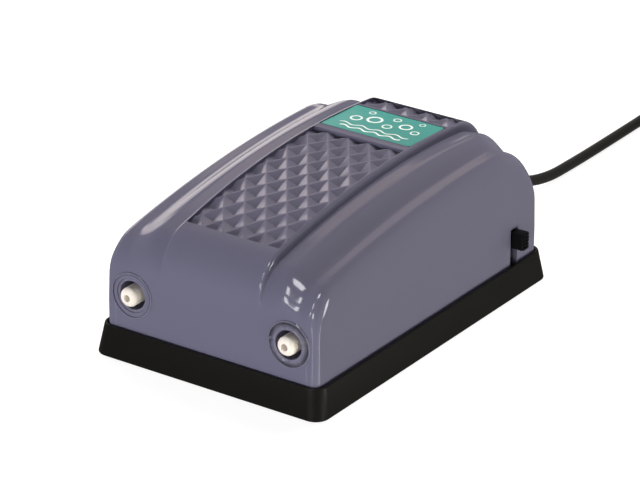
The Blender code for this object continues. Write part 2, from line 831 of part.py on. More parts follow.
def make_base_plate():
    """The flat plate that closes the housing and carries everything inside."""
    plate = rounded_block(
        "base_plate",
        INNER_HALF_WIDTH - GAP,
        INNER_HALF_LENGTH - GAP,
        PLATE_CORNER,
        HOUSING_FOOT,
        PLATE_TOP,
        surface=grey_plastic(),
    )
    below = HOUSING_FOOT - GAP
    for name, x, y in post_places():
        hole = cylinder(
            f"plate_hole_{name}",
            SCREW_HOLE_RADIUS,
            2 * PLATE_THICKNESS,
            (x, y, below),
            "Z",
            None,
            CUTTERS,
            16,
        )
        combine(plate, hole)
        sink = cylinder(
            f"plate_sink_{name}",
            SCREW_HEAD_RADIUS + GAP,
            SCREW_HEAD_HEIGHT + 2 * GAP,
            (x, y, below),
            "Z",
            None,
            CUTTERS,
            16,
        )
        combine(plate, sink)
    for step in range(FILTER_SLOTS):
        x = FILTER_X + (step - (FILTER_SLOTS - 1) / 2) * FILTER_SLOT_PITCH
        reach = BOOT_INTAKE_RADIUS * 0.7
        low = (x - FILTER_SLOT_WIDTH / 2, FILTER_Y - reach, below)
        high = (x + FILTER_SLOT_WIDTH / 2, FILTER_Y + reach, PLATE_TOP + GAP)
        combine(plate, box(f"intake_slot_{step}", low, high, None, CUTTERS))
    for side, sign in SIDES:
        pedestal = box(
            f"pedestal_{side}",
            (sign * core_leg_x() - CORE_OUTER_LEG / 2, CORE_FRONT_Y + CORE_LENGTH / 2, PLATE_TOP - GAP),
            (
                sign * core_leg_x() + CORE_OUTER_LEG / 2,
                CORE_FRONT_Y + CORE_LENGTH,
                CORE_Z - CORE_STACK / 2 - GAP,
            ),
            None,
            CUTTERS,
        )
        combine(plate, pedestal, "UNION")
        front_rest = box(
            f"front_rest_{side}",
            (sign * core_leg_x() - CORE_OUTER_LEG / 2, CORE_FRONT_Y, PLATE_TOP - GAP),
            (
                sign * core_leg_x() + CORE_OUTER_LEG / 2,
                CORE_FRONT_Y + CORE_OUTER_LEG,
                CORE_Z - CORE_STACK / 2 - GAP,
            ),
            None,
            CUTTERS,
        )
        combine(plate, front_rest, "UNION")
        x, y = sign * core_leg_x(), core_screw_y()
        depth = CORE_Z - CORE_STACK / 2 - PLATE_TOP
        pilot = cylinder(
            f"core_pilot_{side}",
            CORE_SCREW_RADIUS + GAP,
            depth,
            (x, y, PLATE_TOP + PLATE_THICKNESS),
            "Z",
            None,
            CUTTERS,
            16,
        )
        combine(plate, pilot)
        chamber_y = DIAPHRAGM_Y
        chamber_x = sign * (CHAMBER_INNER_X + CHAMBER_OUTER_X) / 2
        stand = box(
            f"chamber_stand_{side}",
            (chamber_x - POST_RADIUS, chamber_y - 2 * POST_RADIUS, PLATE_TOP - GAP),
            (
                chamber_x + POST_RADIUS,
                chamber_y + 2 * POST_RADIUS,
                OUTLET_Z - CHAMBER_HALF_HEIGHT - GAP,
            ),
            None,
            CUTTERS,
        )
        combine(plate, stand, "UNION")
    return plate


def make_screw(name, x, y, head_low, radius, head_radius, head_height, length, upwards):
    """A pan-head screw with its head at one end and a rounded tip at the other."""
    profile = [
        (0.0, 0.0),
        (head_radius, 0.0),
        (head_radius, head_height * 0.7),
        (head_radius * 0.8, head_height),
        (radius, head_height),
        (radius, head_height + length - radius),
        (radius * 0.4, head_height + length),
        (0.0, head_height + length),
    ]
    return turned(name, profile, (x, y, head_low), "Z" if upwards else "-Z", steel(), steps=16)


def make_housing_screws():
    """Four screws driven up through the base plate into the housing's posts."""
    for name, x, y in post_places():
        make_screw(
            f"housing_screw_{name}",
            x,
            y,
            HOUSING_FOOT,
            SCREW_RADIUS,
            SCREW_HEAD_RADIUS,
            SCREW_HEAD_HEIGHT,
            SCREW_LENGTH - GAP,
            True,
        )


def make_label():
    """The label plate in its recess."""
    low = GAP - LABEL_RECESS
    label_slab("label_plate", low, low + LABEL_THICKNESS, GAP, teal_label(), PIECES)


# ---------------------------------------------------------------- electromagnet
def core_leg_x():
    """Middle of an outer leg."""
    return CORE_HALF_WIDTH - CORE_OUTER_LEG / 2


def core_screw_y():
    """Where the core's two screws pass through its yoke."""
    return CORE_FRONT_Y + CORE_LENGTH - CORE_YOKE / 2


def make_core():
    """The E-shaped stack of laminations, open to the front."""
    low, high = CORE_Z - CORE_STACK / 2, CORE_Z + CORE_STACK / 2
    rear = CORE_FRONT_Y + CORE_LENGTH
    core = box(
        "laminated_core",
        (-CORE_HALF_WIDTH, CORE_FRONT_Y, low),
        (CORE_HALF_WIDTH, rear, high),
        silicon_steel(),
    )
    for side, sign in SIDES:
        inner, outer = CORE_MIDDLE_LEG / 2, CORE_HALF_WIDTH - CORE_OUTER_LEG
        first, second = sorted((sign * inner, sign * outer))
        window = box(
            f"core_window_{side}",
            (first, CORE_FRONT_Y - CORE_YOKE, low - GAP),
            (second, rear - CORE_YOKE, high + GAP),
            None,
            CUTTERS,
        )
        combine(core, window)
        hole = cylinder(
            f"core_hole_{side}",
            CORE_SCREW_RADIUS + GAP,
            CORE_STACK + 2 * GAP,
            (sign * core_leg_x(), core_screw_y(), low - GAP),
            "Z",
            None,
            CUTTERS,
            16,
        )
        combine(core, hole)
    return core


def bobbin_tube():
    """Half sizes of the bobbin's tube, inside and outside."""
    inner = (CORE_MIDDLE_LEG / 2 + GAP, CORE_STACK / 2 + GAP)
    outer = (inner[0] + BOBBIN_WALL, inner[1] + BOBBIN_WALL)
    return inner, outer


def block_about_leg(name, half_x, half_z, front, rear, surface=None, group=PIECES, edge=0.0):
    """A block centred on the core's middle leg."""
    return box(
        name,
        (-half_x, front, CORE_Z - half_z),
        (half_x, rear, CORE_Z + half_z),
        surface,
        group,
        edge,
    )


def make_bobbin_and_winding():
    """The plastic spool on the middle leg and the copper wound on it."""
    inner, outer = bobbin_tube()
    front = CORE_FRONT_Y + BOBBIN_SET_BACK
    rear = CORE_FRONT_Y + CORE_LENGTH - CORE_YOKE - GAP
    half_x = outer[0] + WINDING_THICKNESS + GAP
    half_z = outer[1] + WINDING_BUILD_HEIGHT + GAP
    bobbin = block_about_leg("coil_bobbin", half_x, half_z, front, rear, ivory_plastic())
    for side, sign in SIDES:
        first, second = sorted((sign * outer[0], sign * (half_x + GAP)))
        room = box(
            f"bobbin_side_{side}",
            (first, front + BOBBIN_FLANGE, CORE_Z - half_z - GAP),
            (second, rear - BOBBIN_FLANGE, CORE_Z + half_z + GAP),
            None,
            CUTTERS,
        )
        combine(bobbin, room)
        low, high = sorted((sign * outer[1], sign * (half_z + GAP)))
        room = box(
            f"bobbin_face_{side}",
            (-half_x - GAP, front + BOBBIN_FLANGE, CORE_Z + low),
            (half_x + GAP, rear - BOBBIN_FLANGE, CORE_Z + high),
            None,
            CUTTERS,
        )
        combine(bobbin, room)
    leg = block_about_leg(
        "bobbin_bore", inner[0], inner[1], front - BOBBIN_FLANGE, rear + BOBBIN_FLANGE, None, CUTTERS
    )
    combine(bobbin, leg)
    start, end = front + BOBBIN_FLANGE + GAP, rear - BOBBIN_FLANGE - GAP
    winding = block_about_leg(
        "coil_winding",
        outer[0] + WINDING_THICKNESS,
        outer[1] + WINDING_BUILD_HEIGHT,
        start,
        end,
        copper(),
    )
    core_room = block_about_leg(
        "winding_bore", outer[0] + GAP, outer[1] + GAP, start - GAP, end + GAP, None, CUTTERS
    )
    combine(winding, core_room)


def make_core_clamp():
    """The steel strap over the yoke and its two screws."""
    top = CORE_Z + CORE_STACK / 2 + GAP
    clamp = box(
        "core_clamp",
        (-CORE_HALF_WIDTH, core_screw_y() - CORE_YOKE / 2, top),
        (CORE_HALF_WIDTH, core_screw_y() + CORE_YOKE / 2, top + CLAMP_THICKNESS),
        steel(),
    )
    for side, sign in SIDES:
        hole = cylinder(
            f"clamp_hole_{side}",
            CORE_SCREW_RADIUS + GAP,
            CLAMP_THICKNESS + 2 * GAP,
            (sign * core_leg_x(), core_screw_y(), top - GAP),
            "Z",
            None,
            CUTTERS,
            16,
        )
        combine(clamp, hole)
        head_top = top + CLAMP_THICKNESS + GAP + SCREW_HEAD_HEIGHT
        make_screw(
            f"core_screw_{side}",
            sign * core_leg_x(),
            core_screw_y(),
            head_top,
            CORE_SCREW_RADIUS,
            SCREW_HEAD_RADIUS + GAP,
            SCREW_HEAD_HEIGHT,
            head_top - SCREW_HEAD_HEIGHT - PLATE_TOP - 2 * PLATE_THICKNESS,
            False,
        )


# ---------------------------------------------------------------- pivots, arms and magnets
def make_pivots():
    """The bracket at the front and the two upright pins that the arms swing on."""
    half = ARM_HEIGHT / 2
    low, high = CORE_Z - half - GAP - BRACKET_DECK, CORE_Z + half + GAP + BRACKET_DECK
    front = PIVOT_Y - ARM_BOSS_RADIUS - GAP - BRACKET_WALL
    rear = PIVOT_Y + BRACKET_MARGIN
    bracket = box(
        "pivot_bracket",
        (-BRACKET_HALF_WIDTH, front, PLATE_TOP + GAP),
        (BRACKET_HALF_WIDTH, rear, high),
        grey_plastic(),
    )
    room = box(
        "bracket_room",
        (-BRACKET_HALF_WIDTH - GAP, front + BRACKET_WALL, CORE_Z - half - GAP),
        (BRACKET_HALF_WIDTH + GAP, rear + GAP, CORE_Z + half + GAP),
        None,
        CUTTERS,
    )
    combine(bracket, room)
    for side, sign in SIDES:
        x = sign * ARM_X
        hole = cylinder(
            f"pin_hole_{side}",
            PIVOT_RADIUS + GAP,
            high - low + GAP,
            (x, PIVOT_Y, low),
            "Z",
            None,
            CUTTERS,
            24,
        )
        combine(bracket, hole)
        cylinder(
            f"pivot_pin_{side}",
            PIVOT_RADIUS,
            high - low - GAP,
            (x, PIVOT_Y, low + GAP),
            "Z",
            steel(),
            steps=24,
        )


def make_arm(side, sign):
    """A swing arm: boss on its pin, straight bar and a head that holds the magnet."""
    hinge = bpy.data.objects.new(f"{side}_arm_axis", None)
    collection(PIECES).objects.link(hinge)
    hinge.location = (sign * ARM_X, PIVOT_Y, CORE_Z)
    half = ARM_HEIGHT / 2
    head_rear = CORE_FRONT_Y - MAGNET_AIR_GAP - MAGNET_THICKNESS - GAP - PIVOT_Y
    head_front = head_rear - ARM_HEAD_THICKNESS
    arm = box(
        f"swing_arm_{side}",
        (-ARM_THICKNESS / 2, 0.0, -half),
        (ARM_THICKNESS / 2, head_front + GAP, half),
        grey_plastic(),
    )
    head = box(
        f"arm_head_{side}",
        (-MAGNET_WIDTH / 2, head_front, -MAGNET_HEIGHT / 2),
        (MAGNET_WIDTH / 2, head_rear, MAGNET_HEIGHT / 2),
        None,
        CUTTERS,
    )
    boss = cylinder(
        f"arm_boss_{side}", ARM_BOSS_RADIUS, ARM_HEIGHT, (0.0, 0.0, -half), "Z", None, CUTTERS, 24
    )
    bore = cylinder(
        f"arm_bore_{side}",
        PIVOT_RADIUS + RUNNING_CLEARANCE,
        ARM_HEIGHT + 2 * GAP,
        (0.0, 0.0, -half - GAP),
        "Z",
        None,
        CUTTERS,
        24,
    )
    stud_hole = cylinder(
        f"arm_stud_hole_{side}",
        STUD_RADIUS + GAP,
        ARM_THICKNESS + 2 * GAP,
        (-ARM_THICKNESS / 2 - GAP, DIAPHRAGM_Y - PIVOT_Y, 0.0),
        "X",
        None,
        CUTTERS,
        16,
    )
    for tool in (head, boss, bore, stud_hole):
        tool.parent = hinge
    combine(arm, head, "UNION")
    combine(arm, boss, "UNION")
    combine(arm, bore)
    combine(arm, stud_hole)
    magnet = box(
        f"arm_magnet_{side}",
        (-MAGNET_WIDTH / 2, head_rear + GAP, -MAGNET_HEIGHT / 2),
        (MAGNET_WIDTH / 2, head_rear + GAP + MAGNET_THICKNESS, MAGNET_HEIGHT / 2),
        ferrite(),
    )
    arm.parent = hinge
    magnet.parent = hinge
    stud = make_stud(side, sign)
    stud.parent = hinge


def diaphragm_hub_x():
    """Inner face of the diaphragm's hub, next to the arm."""
    return ARM_X + ARM_THICKNESS / 2 + GAP


def make_stud(side, sign):
    """The screw that ties the arm to the diaphragm's hub."""
    inner = ARM_THICKNESS / 2 + GAP + STUD_HEAD_HEIGHT
    hub_end = CHAMBER_INNER_X - GAP - ARM_X
    profile = [
        (0.0, 0.0),
        (STUD_HEAD_RADIUS, 0.0),
        (STUD_HEAD_RADIUS, STUD_HEAD_HEIGHT),
        (STUD_RADIUS, STUD_HEAD_HEIGHT),
        (STUD_RADIUS, inner + hub_end),
        (0.0, inner + hub_end),
    ]
    start = (-sign * inner, DIAPHRAGM_Y - PIVOT_Y, 0.0)
    axis = "X" if sign > 0 else "-X"
    return turned(f"diaphragm_screw_{side}", profile, start, axis, steel(), steps=16)


# ---------------------------------------------------------------- valve chambers
def make_chamber(side, sign):
    """One air chamber with its diaphragm, retaining ring, valve plate and flaps."""
    axis, back = ("X", "-X") if sign > 0 else ("-X", "X")
    x_inner, x_outer = sign * CHAMBER_INNER_X, sign * CHAMBER_OUTER_X
    first, second = sorted((x_inner, x_outer))
    chamber = box(
        f"valve_chamber_{side}",
        (first, CHAMBER_FRONT_Y, OUTLET_Z - CHAMBER_HALF_HEIGHT),
        (second, CHAMBER_REAR_Y, OUTLET_Z + CHAMBER_HALF_HEIGHT),
        grey_plastic(),
    )
    mouth = (x_inner - sign * GAP, DIAPHRAGM_Y, OUTLET_Z)
    pocket = cylinder(
        f"pocket_{side}", POCKET_RADIUS, POCKET_DEPTH + GAP, mouth, axis, None, CUTTERS, 32
    )
    combine(chamber, pocket)
    plenum = cylinder(
        f"plenum_{side}", PLENUM_RADIUS, PLENUM_DEPTH + GAP, mouth, axis, None, CUTTERS, 28
    )
    combine(chamber, plenum)
    duct_length = DIAPHRAGM_Y - CHAMBER_FRONT_Y
    duct = cylinder(
        f"duct_{side}",
        NOZZLE_SPIGOT_RADIUS + GAP,
        duct_length,
        (sign * OUTLET_X, CHAMBER_FRONT_Y - GAP, OUTLET_Z),
        "Y",
        None,
        CUTTERS,
        24,
    )
    combine(chamber, duct)
    ring(
        f"diaphragm_ring_{side}",
        DIAPHRAGM_RADIUS,
        RETAINER_INNER_RADIUS,
        RETAINER_THICKNESS,
        (x_inner - sign * (3 * GAP + DIAPHRAGM_WEB + RETAINER_THICKNESS - GAP), DIAPHRAGM_Y, OUTLET_Z),
        axis,
        grey_plastic(),
    )
    make_diaphragm(side, sign, back)
    floor = x_inner + sign * POCKET_DEPTH
    plate = cylinder(
        f"valve_plate_{side}",
        POCKET_RADIUS - GAP,
        VALVE_PLATE_THICKNESS,
        (floor - sign * (GAP + VALVE_PLATE_THICKNESS), DIAPHRAGM_Y, OUTLET_Z),
        axis,
        ivory_plastic(),
    )
    for name, offset in (("inlet", VALVE_PORT_OFFSET), ("outlet", -VALVE_PORT_OFFSET)):
        start = (floor - sign * (2 * VALVE_PLATE_THICKNESS), DIAPHRAGM_Y + offset, OUTLET_Z)
        port = cylinder(
            f"{name}_port_{side}",
            VALVE_PORT_RADIUS,
            3 * VALVE_PLATE_THICKNESS,
            start,
            axis,
            None,
            CUTTERS,
            16,
        )
        combine(plate, port)
    inlet_x = floor - sign * (2 * GAP + VALVE_PLATE_THICKNESS + FLAP_THICKNESS)
    cylinder(
        f"inlet_flap_{side}",
        FLAP_RADIUS,
        FLAP_THICKNESS,
        (inlet_x, DIAPHRAGM_Y + VALVE_PORT_OFFSET, OUTLET_Z),
        axis,
        soft_rubber(),
        steps=20,
    )
    cylinder(
        f"outlet_flap_{side}",
        FLAP_RADIUS,
        FLAP_THICKNESS,
        (floor, DIAPHRAGM_Y - VALVE_PORT_OFFSET, OUTLET_Z),
        axis,
        soft_rubber(),
        steps=20,
    )


def make_diaphragm(side, sign, back):
    """The rubber cup between the arm and the chamber's mouth, turned about its own axis."""
    rim = CHAMBER_INNER_X - GAP
    depth = rim - diaphragm_hub_x()
    web = DIAPHRAGM_WEB
    hub = DIAPHRAGM_HUB_RADIUS
    shoulder = RETAINER_INNER_RADIUS - 2 * GAP
    profile = [
        (STUD_RADIUS + GAP, 0.0015),
        (hub - web, 0.0015),
        (shoulder - web, 0.0),
        (DIAPHRAGM_RADIUS, 0.0),
        (DIAPHRAGM_RADIUS, web),
        (shoulder, web),
        (hub + web / 2, 0.0015 + web),
        (hub, depth),
        (STUD_RADIUS + GAP, depth),
    ]
    start = (sign * rim, DIAPHRAGM_Y, OUTLET_Z)
    turned(f"diaphragm_{side}", profile, start, back, soft_rubber())


def make_nozzle(side, sign):
    """An outlet nozzle: domed tip, bore, collar against the chamber and spigot in its duct."""
    tip = -(outer_wall_y(OUTLET_Z) + NOZZLE_REACH)
    collar_rear = CHAMBER_FRONT_Y - GAP
    collar_front = collar_rear - NOZZLE_COLLAR_LENGTH
    dome = NOZZLE_RADIUS - NOZZLE_BORE
    profile = [(NOZZLE_BORE, 0.0)]
    for step in range(1, 5):
        turn = math.pi / 2 * step / 4
        profile.append((NOZZLE_BORE + dome * math.sin(turn), 0.85 * dome * (1 - math.cos(turn))))
    profile += [
        (NOZZLE_RADIUS, collar_front - tip),
        (NOZZLE_COLLAR_RADIUS, collar_front - tip),
        (NOZZLE_COLLAR_RADIUS, collar_rear - tip),
        (NOZZLE_SPIGOT_RADIUS, collar_rear - tip),
        (NOZZLE_SPIGOT_RADIUS, collar_rear + NOZZLE_SPIGOT_LENGTH - tip),
        (NOZZLE_BORE, collar_rear + NOZZLE_SPIGOT_LENGTH - tip),
    ]
    start = (sign * OUTLET_X, tip, OUTLET_Z)
    turned(f"outlet_nozzle_{side}", profile, start, "Y", ivory_plastic())


# ---------------------------------------------------------------- output control
def make_control():
    """The slide control: fixed body inside, and the slider and knob that move up and down."""
    middle = KNOB_TOP - KNOB_HEIGHT / 2
    knob_inner = outer_wall_x(middle) - KNOB_TAIL
    knob_outer = outer_wall_x(middle) + KNOB_REACH
    slide = bpy.data.objects.new("control_axis", None)
    collection(PIECES).objects.link(slide)
    slide.location = (knob_outer, CONTROL_Y, middle)
    knob = box(
        "control_knob",
        (knob_inner - knob_outer, -KNOB_WIDTH / 2, -KNOB_HEIGHT / 2),
        (0.0, KNOB_WIDTH / 2, KNOB_HEIGHT / 2),
        black_plastic(),
    )
    knob.parent = slide
    pitch = KNOB_HEIGHT / (KNOB_RIBS + 1)
    for step in range(KNOB_RIBS):
        z = (step - (KNOB_RIBS - 1) / 2) * pitch
        groove = cylinder(
            f"knob_groove_{step}",
            KNOB_RIB_HEIGHT / 2,
            KNOB_WIDTH + 2 * GAP,
            (0.0, -KNOB_WIDTH / 2 - GAP, z),
            "Y",
            None,
            CUTTERS,
            8,
        )
        groove.parent = slide
        combine(knob, groove)
    slider_outer = knob_inner - GAP - knob_outer
    slider = box(
        "control_slider",
        (slider_outer - SLIDER_LENGTH, -SLIDER_WIDTH / 2, -SLIDER_HEIGHT / 2),
        (slider_outer, SLIDER_WIDTH / 2, SLIDER_HEIGHT / 2),
        ivory_plastic(),
    )
    slider.parent = slide
    body_outer = knob_inner - GAP - SLIDER_LENGTH / 3
    body_low, body_high = PLATE_TOP + GAP, KNOB_TOP + HOUSING_WALL
    body = box(
        "control_body",
        (body_outer - CONTROL_BODY_DEPTH, CONTROL_Y - CONTROL_BODY_LENGTH / 2, body_low),
        (body_outer, CONTROL_Y + CONTROL_BODY_LENGTH / 2, body_high),
        black_plastic(),
    )
    track_low = middle - SLIDER_HEIGHT / 2 - CONTROL_TRAVEL - 2 * GAP
    track_high = middle + SLIDER_HEIGHT / 2 + 2 * GAP
    track_depth = SLIDER_LENGTH * 2 / 3 + GAP
    track = box(
        "control_track",
        (body_outer - track_depth, CONTROL_Y - SLIDER_WIDTH / 2 - GAP, track_low),
        (body_outer + GAP, CONTROL_Y + SLIDER_WIDTH / 2 + GAP, track_high),
        None,
        CUTTERS,
    )
    combine(body, track)


def make_filter():
    """The felt disc over the air intake in the base plate."""
    cylinder(
        "air_filter",
        FILTER_RADIUS,
        FILTER_THICKNESS,
        (FILTER_X, FILTER_Y, PLATE_TOP + GAP),
        "Z",
        felt(),
    )


# ---------------------------------------------------------------- cord, leads and plug
def smooth_route(points, step):
    """Points at about equal steps along a smooth curve through the given points."""
    places = [Vector(point) for point in points]
    ends = [2 * places[0] - places[1], *places, 2 * places[-1] - places[-2]]
    fine = []
    for before, start, end, after in zip(ends, ends[1:], ends[2:], ends[3:], strict=False):
        for share in spread(0.0, 1.0, 24)[:-1]:
            fine.append(
                0.5
                * (
                    2 * start
                    + (end - before) * share
                    + (2 * before - 5 * start + 4 * end - after) * share**2
                    + (3 * start - before - 3 * end + after) * share**3
                )
            )
    fine.append(places[-1])
    length = sum((second - first).length for first, second in zip(fine, fine[1:], strict=False))
    count = max(round(length / step), 2)
    route, travelled, wanted = [fine[0]], 0.0, length / count
    for first, second in zip(fine, fine[1:], strict=False):
        run = (second - first).length
        while travelled + run >= wanted and len(route) < count:
            route.append(first.lerp(second, (wanted - travelled) / run))
            wanted += length / count
        travelled += run
    route.append(fine[-1])
    return route


def tube(name, route, radius, surface):
    """A round tube along a route, with flat filled ends."""
    curve = bpy.data.curves.new(name, "CURVE")
    curve.dimensions = "3D"
    curve.bevel_depth = radius
    curve.bevel_resolution = 2
    curve.use_fill_caps = True
    spline = curve.splines.new("POLY")
    spline.points.add(len(route) - 1)
    for point, place in zip(spline.points, route, strict=True):
        point.co = (*place, 1.0)
    item = bpy.data.objects.new(name, curve)
    collection(PIECES).objects.link(item)
    curve.materials.append(surface)
    return item


def make_leads():
    """Two insulated leads: one from the winding to the control and one from it to the cord."""
    left = core_leg_x() + CORE_OUTER_LEG
    high = PLATE_TOP + 4 * CORD_RADIUS
    tube(
        "coil_lead",
        smooth_route(
            (
                (left, 0.0200, high),
                (left + 0.0030, 0.0280, high - 0.0030),
                (left + 0.0035, 0.0380, PLATE_TOP + 0.0020),
            ),
            0.0030,
        ),
        0.0007,
        lead_sleeving(),
    )
    tube(
        "mains_lead",
        smooth_route(
            (
                (0.0010, 0.0500, CORD_EXIT_Z - CORD_RADIUS),
                (0.0060, 0.0440, 0.0090),
                (0.0140, 0.0425, 0.0070),
                (0.0220, 0.0430, 0.0068),
            ),
            0.0030,
        ),
        0.0007,
        lead_sleeving(),
    )


def make_strain_relief():
    """The rubber bush in the rear wall that tapers down to the cord."""
    wall = outer_wall_y(CORD_EXIT_Z)
    inside = INNER_HALF_LENGTH - GAP
    flange = wall + GAP
    bore = CORD_RADIUS + GAP
    inner_lip = RELIEF_NECK_RADIUS
    profile = [
        (bore, 0.0),
        (inner_lip, 0.0),
        (inner_lip, flange - inside),
        (RELIEF_FLANGE_RADIUS, flange - inside),
        (RELIEF_FLANGE_RADIUS, flange - inside + RELIEF_FLANGE),
        (RELIEF_NECK_RADIUS, flange - inside + 2 * RELIEF_FLANGE),
        (RELIEF_TIP_RADIUS, flange - inside + RELIEF_LENGTH),
        (bore, flange - inside + RELIEF_LENGTH),
    ]
    turned("cord_strain_relief", profile, (0.0, inside, CORD_EXIT_Z), "Y", black_rubber())
    return flange + RELIEF_LENGTH


def make_cord():
    """The mains cord as a tube to the coil, the coil's outer form, and its tie."""
    start_y = make_strain_relief() + GAP
    route = smooth_route(((0.0, start_y, CORD_EXIT_Z), *CORD_ROUTE), CORD_POINT_STEP)
    tube("mains_cord", route, CORD_RADIUS, black_rubber())
    inner = COIL_MIDDLE_RADIUS - COIL_HALF_WIDTH
    outer = COIL_MIDDLE_RADIUS + COIL_HALF_WIDTH
    soft = COIL_HALF_WIDTH / 2
    profile = [
        (inner, soft),
        (inner + soft, 0.0),
        (outer - soft, 0.0),
        (outer, soft),
        (outer, COIL_HEIGHT - soft),
        (outer - soft, COIL_HEIGHT),
        (inner + soft, COIL_HEIGHT),
        (inner, COIL_HEIGHT - soft),
    ]
    centre = (COIL_CENTRE_X, COIL_CENTRE_Y, COIL_BASE)
    turned("cord_coil", profile, centre, "Z", black_rubber(), steps=40)


def make_tie():
    """The band round the coil's bundle, at its far side."""
    y = COIL_CENTRE_Y + COIL_MIDDLE_RADIUS
    half_y = COIL_HALF_WIDTH + GAP
    low, high = COIL_BASE - GAP, COIL_BASE + COIL_HEIGHT + GAP
    tie = box(
        "cord_tie",
        (COIL_CENTRE_X - TIE_WIDTH / 2, y - half_y - TIE_THICKNESS, low - TIE_THICKNESS),
        (COIL_CENTRE_X + TIE_WIDTH / 2, y + half_y + TIE_THICKNESS, high + TIE_THICKNESS),
        black_plastic(),
    )
    room = box(
        "tie_room",
        (COIL_CENTRE_X - TIE_WIDTH, y - half_y, low),
        (COIL_CENTRE_X + TIE_WIDTH, y + half_y, high),
        None,
        CUTTERS,
    )
    combine(tie, room)


def make_plug():
    """A flat two-pin plug that lies beside the coil, pins to the front."""
    front = PLUG_REAR_Y - PLUG_LENGTH
    body = rounded_block(
        "plug_body",
        PLUG_WIDTH / 2,
        PLUG_LENGTH / 2,
        0.0080,
        -PLUG_THICKNESS / 2,
        PLUG_THICKNESS / 2,
        surface=black_rubber(),
    )
    body.location = (PLUG_X, PLUG_REAR_Y - PLUG_LENGTH / 2, PLUG_CENTRE_Z)
    tail = turned(
        "plug_tail_form",
        [
            (0.0, -0.0040),
            (0.0045, -0.0040),
            (0.0045, 0.0),
            (CORD_RADIUS + 0.0008, PLUG_TAIL_LENGTH),
            (0.0, PLUG_TAIL_LENGTH),
        ],
        (PLUG_X, PLUG_REAR_Y, PLUG_CENTRE_Z),
        "Y",
        None,
        CUTTERS,
        20,
    )
    combine(body, tail, "UNION")
    for side, sign in SIDES:
        x = PLUG_X + sign * PIN_SPACING / 2
        seat = cylinder(
            f"pin_seat_{side}",
            PIN_RADIUS + GAP,
            PLUG_LENGTH / 4,
            (x, front - GAP, PLUG_CENTRE_Z),
            "Y",
            None,
            CUTTERS,
            16,
        )
        combine(body, seat)
        pin = cylinder(
            f"plug_pin_{side}",
            PIN_RADIUS,
            PIN_LENGTH + PLUG_LENGTH / 4 - 2 * GAP,
            (x, front + PLUG_LENGTH / 4 - 2 * GAP, PLUG_CENTRE_Z),
            "-Y",
            steel(),
            steps=16,
        )
        rounding = pin.modifiers.new("rounded ends", "BEVEL")
        rounding.width = PIN_RADIUS / 3
        rounding.segments = 2
        rounding.limit_method = "ANGLE"
    tail_start = PLUG_REAR_Y + PLUG_TAIL_LENGTH + GAP
    route = smooth_route((*TAIL_ROUTE, (PLUG_X, tail_start, PLUG_CENTRE_Z)), CORD_POINT_STEP / 2)
    tube("cord_tail", route, CORD_RADIUS, black_rubber())


def main():
    clear_scene()
    make_housing()
    make_label()
    make_boot()
    make_base_plate()
    make_housing_screws()
    make_core()
    make_bobbin_and_winding()
    make_core_clamp()
    make_pivots()
    for side, sign in SIDES:
        make_arm(side, sign)
        make_chamber(side, sign)
        make_nozzle(side, sign)
    make_control()
    make_filter()
    make_leads()
    make_cord()
    make_tie()
    make_plug()


main()
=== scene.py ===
"""The looks of a twin-outlet aquarium air pump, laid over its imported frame.

Everything is in metres in the frame's own axes: +Z up, +Y to the rear where the cord leaves,
+X to the side that has the slide control.
"""

from __future__ import annotations

import json
import logging
import math
from collections.abc import Callable, Iterable, Sequence
from dataclasses import dataclass, field, replace
from enum import Enum

import bmesh
import bpy
from mathutils import Matrix, Vector

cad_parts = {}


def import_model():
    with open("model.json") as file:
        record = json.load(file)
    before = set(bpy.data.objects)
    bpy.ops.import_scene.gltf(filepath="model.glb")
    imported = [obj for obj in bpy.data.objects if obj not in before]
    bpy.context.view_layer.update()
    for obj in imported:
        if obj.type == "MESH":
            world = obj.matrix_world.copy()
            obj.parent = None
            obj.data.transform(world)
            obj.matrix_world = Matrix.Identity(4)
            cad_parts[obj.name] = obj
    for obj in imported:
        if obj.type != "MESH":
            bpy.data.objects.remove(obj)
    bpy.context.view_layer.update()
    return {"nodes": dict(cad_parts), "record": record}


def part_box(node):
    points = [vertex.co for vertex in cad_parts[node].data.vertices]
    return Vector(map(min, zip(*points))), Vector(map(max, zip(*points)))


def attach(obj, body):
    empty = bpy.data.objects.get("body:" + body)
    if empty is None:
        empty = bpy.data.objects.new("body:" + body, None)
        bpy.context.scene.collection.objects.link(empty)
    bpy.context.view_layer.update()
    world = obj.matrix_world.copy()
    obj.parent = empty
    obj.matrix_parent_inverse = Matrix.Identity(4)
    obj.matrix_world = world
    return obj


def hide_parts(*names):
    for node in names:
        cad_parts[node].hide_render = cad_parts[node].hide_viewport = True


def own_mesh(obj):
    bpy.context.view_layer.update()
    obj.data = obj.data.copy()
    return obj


LOG = logging.getLogger("air_pump")
MM = 0.001
MERGE_WITHIN = 0.002 * MM
UPRIGHT_LEAST = 0.0002
FINE_STEPS = 64

Point = tuple[float, float, float]
Colour = tuple[float, float, float]


# ---------------------------------------------------------------- working with operators
def deselect_all() -> None:
    """Leave edit mode and select nothing."""
    if bpy.context.object is not None and bpy.context.object.mode != "OBJECT":
        bpy.ops.object.mode_set(mode="OBJECT")
    bpy.ops.object.select_all(action="DESELECT")


def take(piece: bpy.types.Object) -> None:
    """Make one piece the selected and active one.

    Args:
        piece: The object that the next operators act on.
    """
    deselect_all()
    piece.select_set(True)
    bpy.context.view_layer.objects.active = piece


def added(name: str) -> bpy.types.Object:
    """Name the primitive that has just been added.

    Args:
        name: The piece's name.

    Returns:
        The new object.
    """
    piece = bpy.context.object
    piece.name = name
    piece.data.name = name
    return piece


